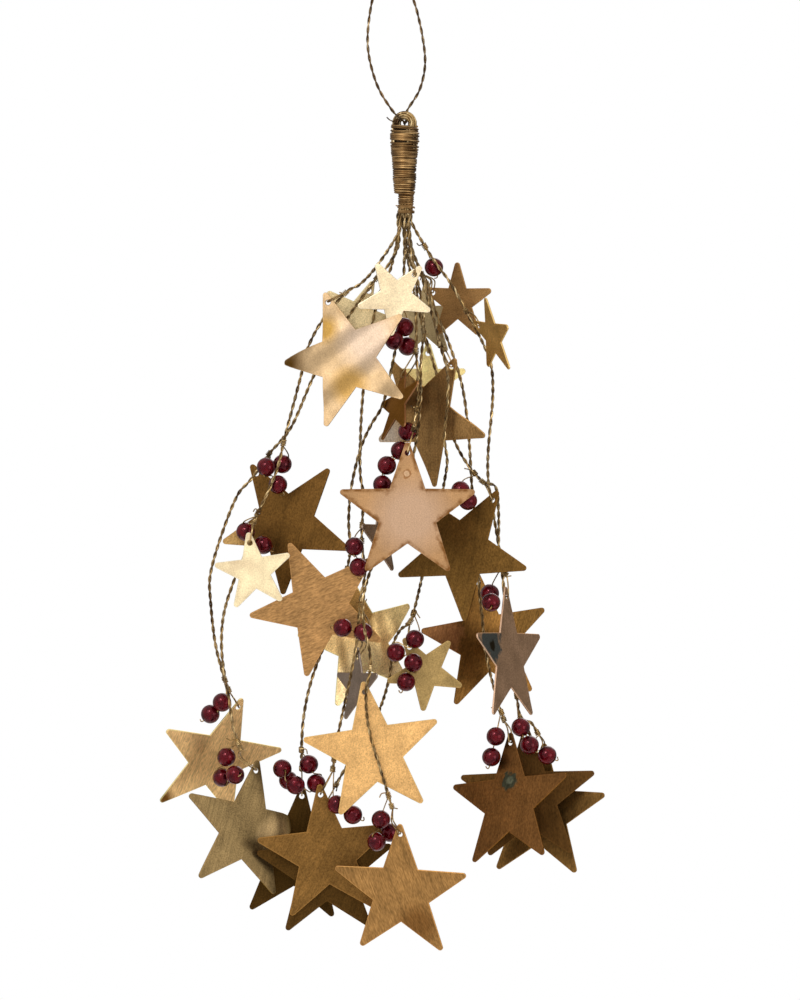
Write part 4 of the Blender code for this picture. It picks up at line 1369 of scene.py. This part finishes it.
def build_camera():
    """A long lens, level with the middle of the photograph's frame."""
    data = bpy.data.cameras.new("camera")
    data.lens = data.sensor_width * CAMERA_DISTANCE / FRAME_HEIGHT
    camera = in_scene("camera", data)
    across = (MIDDLE_PIXEL[0] - FOOT_PIXEL[0]) * PIXEL
    down = (MIDDLE_PIXEL[1] - FOOT_PIXEL[1]) * PIXEL
    camera.location = (FOOT.x + across, -CAMERA_DISTANCE, FOOT.z - down)
    camera.rotation_euler = (pi / 2, 0, 0)
    bpy.context.scene.camera = camera


def build_floor():
    """A plain pale disc well below the lowest star."""
    place = Matrix.Translation((FOOT.x, 0, cad_box[0].z - FLOOR_DROP))
    disc = {"segments": FLOOR_SEGMENTS, "radius": FLOOR_RADIUS, "matrix": place}
    bm = bmesh.new()
    bmesh.ops.create_circle(bm, cap_ends=True, **disc)
    mesh = bpy.data.meshes.new("floor")
    bm.to_mesh(mesh)
    bm.free()
    mesh.materials.append(floor_surface())
    in_scene("floor", mesh)


def build_lights():
    """Soft round lamps, all aimed at the middle of the cluster."""
    for lamp in LIGHTS:
        data = bpy.data.lights.new(lamp.name, "AREA")
        data.shape = "DISK"
        data.size = lamp.size
        data.energy = lamp.power
        light = in_scene(lamp.name, data)
        light.location = lamp.place
        aim = LIGHT_AIM - Vector(lamp.place)
        light.rotation_euler = aim.to_track_quat("-Z", "Y").to_euler()


def build_world():
    """White surroundings to look at, and a graded studio to light by and be mirrored."""
    world = bpy.data.worlds.new("studio")
    bpy.context.scene.world = world
    nodes = Nodes(world)
    aim = nodes.add("TexCoord", {})["Generated"]
    grade = nodes.add("VectorMath", {0: aim, 1: STUDIO_GRADE}, "DOT_PRODUCT")["Value"]
    glow = {"Color": STUDIO_TINT, "Strength": nodes.math("ADD", grade, STUDIO_GLOW)}
    studio = nodes.feed(nodes.tree.nodes["Background"], glow)["Background"]
    white = nodes.add("Background", {"Color": (1, 1, 1, 1)})["Background"]
    path = nodes.add("LightPath", {})
    seen = nodes.math("MAXIMUM", path["Is Camera Ray"], path["Is Transmission Ray"])
    both = nodes.add("MixShader", {"Fac": seen, 1: studio, 2: white})["Shader"]
    nodes.feed(nodes.tree.nodes["World Output"], {"Surface": both})


def main():
    """Set up the stage, then make every piece."""
    build_camera()
    build_floor()
    build_world()
    build_lights()
    bpy.context.scene.view_settings.view_transform = "Standard"

    brass = {name: wire_surface(name) for name in WIRE_TONES}
    glass = bead_surface()
    build_loop(brass["loop_brass"])
    build_neck(brass["wire_brass"], brass["binding_brass"], brass["painted_shade_packing"])
    for seed, look in enumerate(STARS):
        build_star(look, seed)
    lines = strand_lines()
    for seed, strand in enumerate(ROUTES):
        build_strand(strand, seed, lines[strand], brass["wire_brass"])
    for seed, sprig in enumerate(SPRIGS):
        build_sprig(sprig, seed, lines[sprig.strand], glass, brass["fine_wire_brass"])


main()
